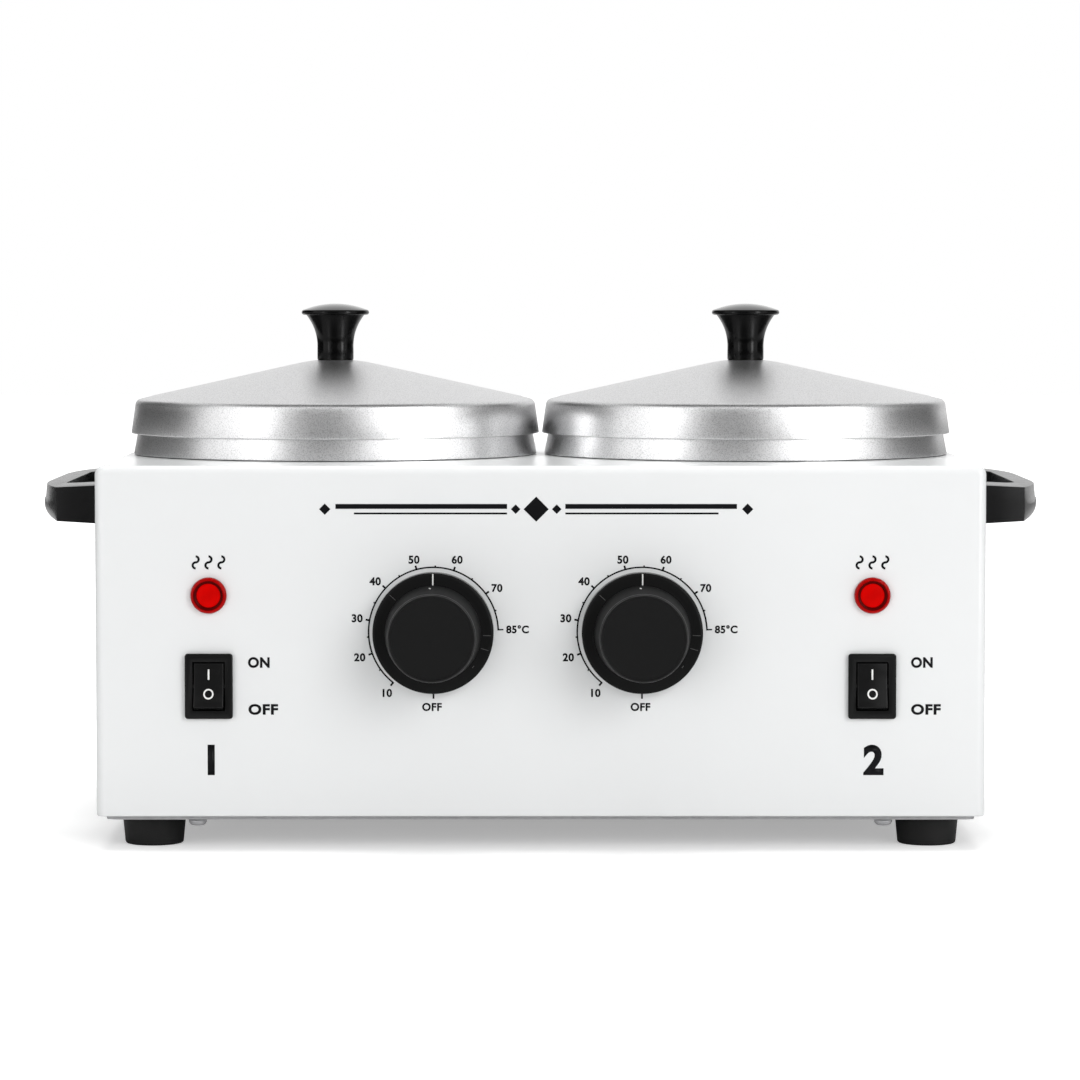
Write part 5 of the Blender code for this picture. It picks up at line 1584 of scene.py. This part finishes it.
@dataclass
class Studio:
    """Camera, floor, world and lamps."""

    camera_place: Place = (-0.00016, -1.52685, 0.1872)
    pitch: float = 3.40
    lens: float = 147.0
    world_light: float = 0.38
    floor_lift: float = 0.38
    far_lift: float = 0.6
    far_centre: Place = (0.0, 0.04, 0.0)
    far_stretch: Place = (0.6, 1.3, 1.0)
    far_reach: Point = (0.25, 0.12)
    floor_tone: Place = (0.82, 0.82, 0.82)
    card_height: float = 0.35
    lamps: tuple[tuple[str, Place, float, float], ...] = (
        ("key", (0.75, -1.3, 0.6), 0.8, 9.6), ("fill", (-0.75, -1.45, 0.22), 0.9, 6.2),
        ("top", (0.0, 0.35, 1.6), 1.2, 24.0))
    cards: tuple[tuple[str, float, float, Point, float], ...] = (
        ("front", -8.0, 1.5, (1.05, 1.5), 0.25), ("right_flag", 107.0, 1.2, (1.25, 1.5), 0.09),
        ("left_flag", -116.0, 1.2, (1.62, 1.5), 0.08), ("right_box", 47.0, 1.15, (1.45, 1.5), 1.3),
        ("right_core", 45.0, 1.1, (0.24, 1.2), 9.0), ("left_box", -56.0, 1.15, (1.08, 1.5), 1.3),
        ("left_core", -44.0, 1.1, (0.14, 1.2), 4.0))
    sheets: tuple[tuple[str, Place, Point, float], ...] = (
        ("overhead", (0.0, -0.25, 1.5), (2.2, 1.3), 0.08), ("ground", (0.0, -1.15, 0.002), (0.9, 1.3), 0.12))

    def build(self) -> None:
        """Set the studio up."""
        self.camera()
        self.world()
        self.floor()
        for name, place, size, power in self.lamps:
            self.lamp(name, place, size, power)
        for name, turn, reach, size, tone in self.cards:
            angle = math.radians(turn)
            self.card(name, (reach * math.sin(angle), -reach * math.cos(angle), self.card_height),
                      (math.pi / 2, 0.0, angle), size, tone)
        for name, place, size, tone in self.sheets:
            self.card(name, place, (0.0, 0.0, 0.0), size, tone)

    def camera(self) -> None:
        """Stand the camera where the photographer's was."""
        data = bpy.data.cameras.new("camera")
        data.lens = self.lens
        data.sensor_width = 36.0
        data.clip_start = 0.01
        camera = bpy.data.objects.new("camera", data)
        camera.location = self.camera_place
        camera.rotation_euler = (math.radians(90 - self.pitch), 0.0, 0.0)
        bpy.context.scene.collection.objects.link(camera)
        bpy.context.scene.camera = camera

    def world(self) -> None:
        """Light evenly from all round, and look white to the camera, to metal and to glass."""
        world = bpy.data.worlds.new("studio")
        bpy.context.scene.world = world
        world.use_nodes = True
        nodes, links = world.node_tree.nodes, world.node_tree.links
        path = nodes.new("ShaderNodeLightPath")
        seen = path.outputs["Is Camera Ray"]
        for kind in ("Is Glossy Ray", "Is Transmission Ray"):
            either = nodes.new("ShaderNodeMath")
            either.operation = "MAXIMUM"
            links.new(seen, either.inputs[0])
            links.new(path.outputs[kind], either.inputs[1])
            seen = either.outputs[0]
        strength = nodes.new("ShaderNodeMapRange")
        links.new(seen, strength.inputs["Value"])
        strength.inputs["To Min"].default_value = self.world_light
        strength.inputs["To Max"].default_value = 1.0
        sky = nodes["Background"]
        sky.inputs["Color"].default_value = (1.0, 1.0, 1.0, 1.0)
        links.new(strength.outputs["Result"], sky.inputs["Strength"])

    def floor(self) -> None:
        """Lay a plain white floor that keeps the object's shadow."""
        Workpiece.bench()
        bpy.ops.mesh.primitive_plane_add(size=9.0, location=(0, 1.0, 0))
        floor = Workpiece.made("floor").thing
        material = bpy.data.materials.new("white floor")
        tree = Tree(material)
        tree.paint(base_color=(*self.floor_tone, 1.0), roughness=1.0, specular_ior_level=0.0)
        camera = Number(tree, tree.node("ShaderNodeLightPath").outputs["Is Camera Ray"])
        far = tree.reach(tree.where(self.far_centre, self.far_stretch)).above(*self.far_reach)
        glow = tree.node("ShaderNodeEmission", None,
                         {"Strength": camera * (self.floor_lift + far * self.far_lift)})
        both = tree.node("ShaderNodeAddShader", None,
                         {0: tree.shader.outputs["BSDF"], 1: glow.outputs["Emission"]})
        tree.links.new(both.outputs[0], tree.nodes["Material Output"].inputs["Surface"])
        floor.data.materials.append(material)

    @staticmethod
    def lamp(name: str, place: Place, size: float, power: float) -> None:
        """Hang a soft lamp that looks at the warmer."""
        data = bpy.data.lights.new(name, "AREA")
        data.shape = "SQUARE"
        data.size = size
        data.energy = power
        lamp = bpy.data.objects.new(name, data)
        lamp.location = place
        lamp.rotation_euler = (Vector((0, 0, 0.08)) - Vector(place)).to_track_quat("-Z", "Y").to_euler()
        lamp.visible_glossy = False
        bpy.context.scene.collection.objects.link(lamp)

    @staticmethod
    def card(name: str, place: Place, turn: Place, size: Point, tone: float) -> None:
        """Stand a card that only reflections see.

        Args:
            name: Its name.
            place: Its centre.
            turn: Its turn.
            size: Its width and height.
            tone: Its brightness, dark for a flag and bright for a soft box.
        """
        Workpiece.bench()
        bpy.ops.mesh.primitive_plane_add(size=1.0, rotation=turn, location=place)
        card = Workpiece.made(f"{name}_card", (*size, 1.0)).thing
        material = bpy.data.materials.new(f"{name} card")
        tree = Tree(material)
        glow = tree.node("ShaderNodeEmission", None, {"Color": (1.0, 1.0, 1.0, 1.0), "Strength": tone})
        tree.links.new(glow.outputs[0], tree.nodes["Material Output"].inputs["Surface"])
        card.data.materials.append(material)
        for kind in ("camera", "diffuse", "shadow", "transmission", "volume_scatter"):
            setattr(card, f"visible_{kind}", False)


def main() -> None:
    """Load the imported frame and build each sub-assembly."""
    logging.basicConfig(level=logging.INFO, format="%(name)s: %(message)s")
    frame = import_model()
    scene = bpy.context.scene
    scene.view_settings.view_transform = "Standard"
    Studio().build()
    for sub_assembly in (Housing, Vessels, Handles, Dials, Switches, Lamps, PanelPrint, Supply, Screws):
        sub_assembly(frame).build()
        LOG.info("%s done", sub_assembly.__name__)


if __name__ == "__main__":
    main()
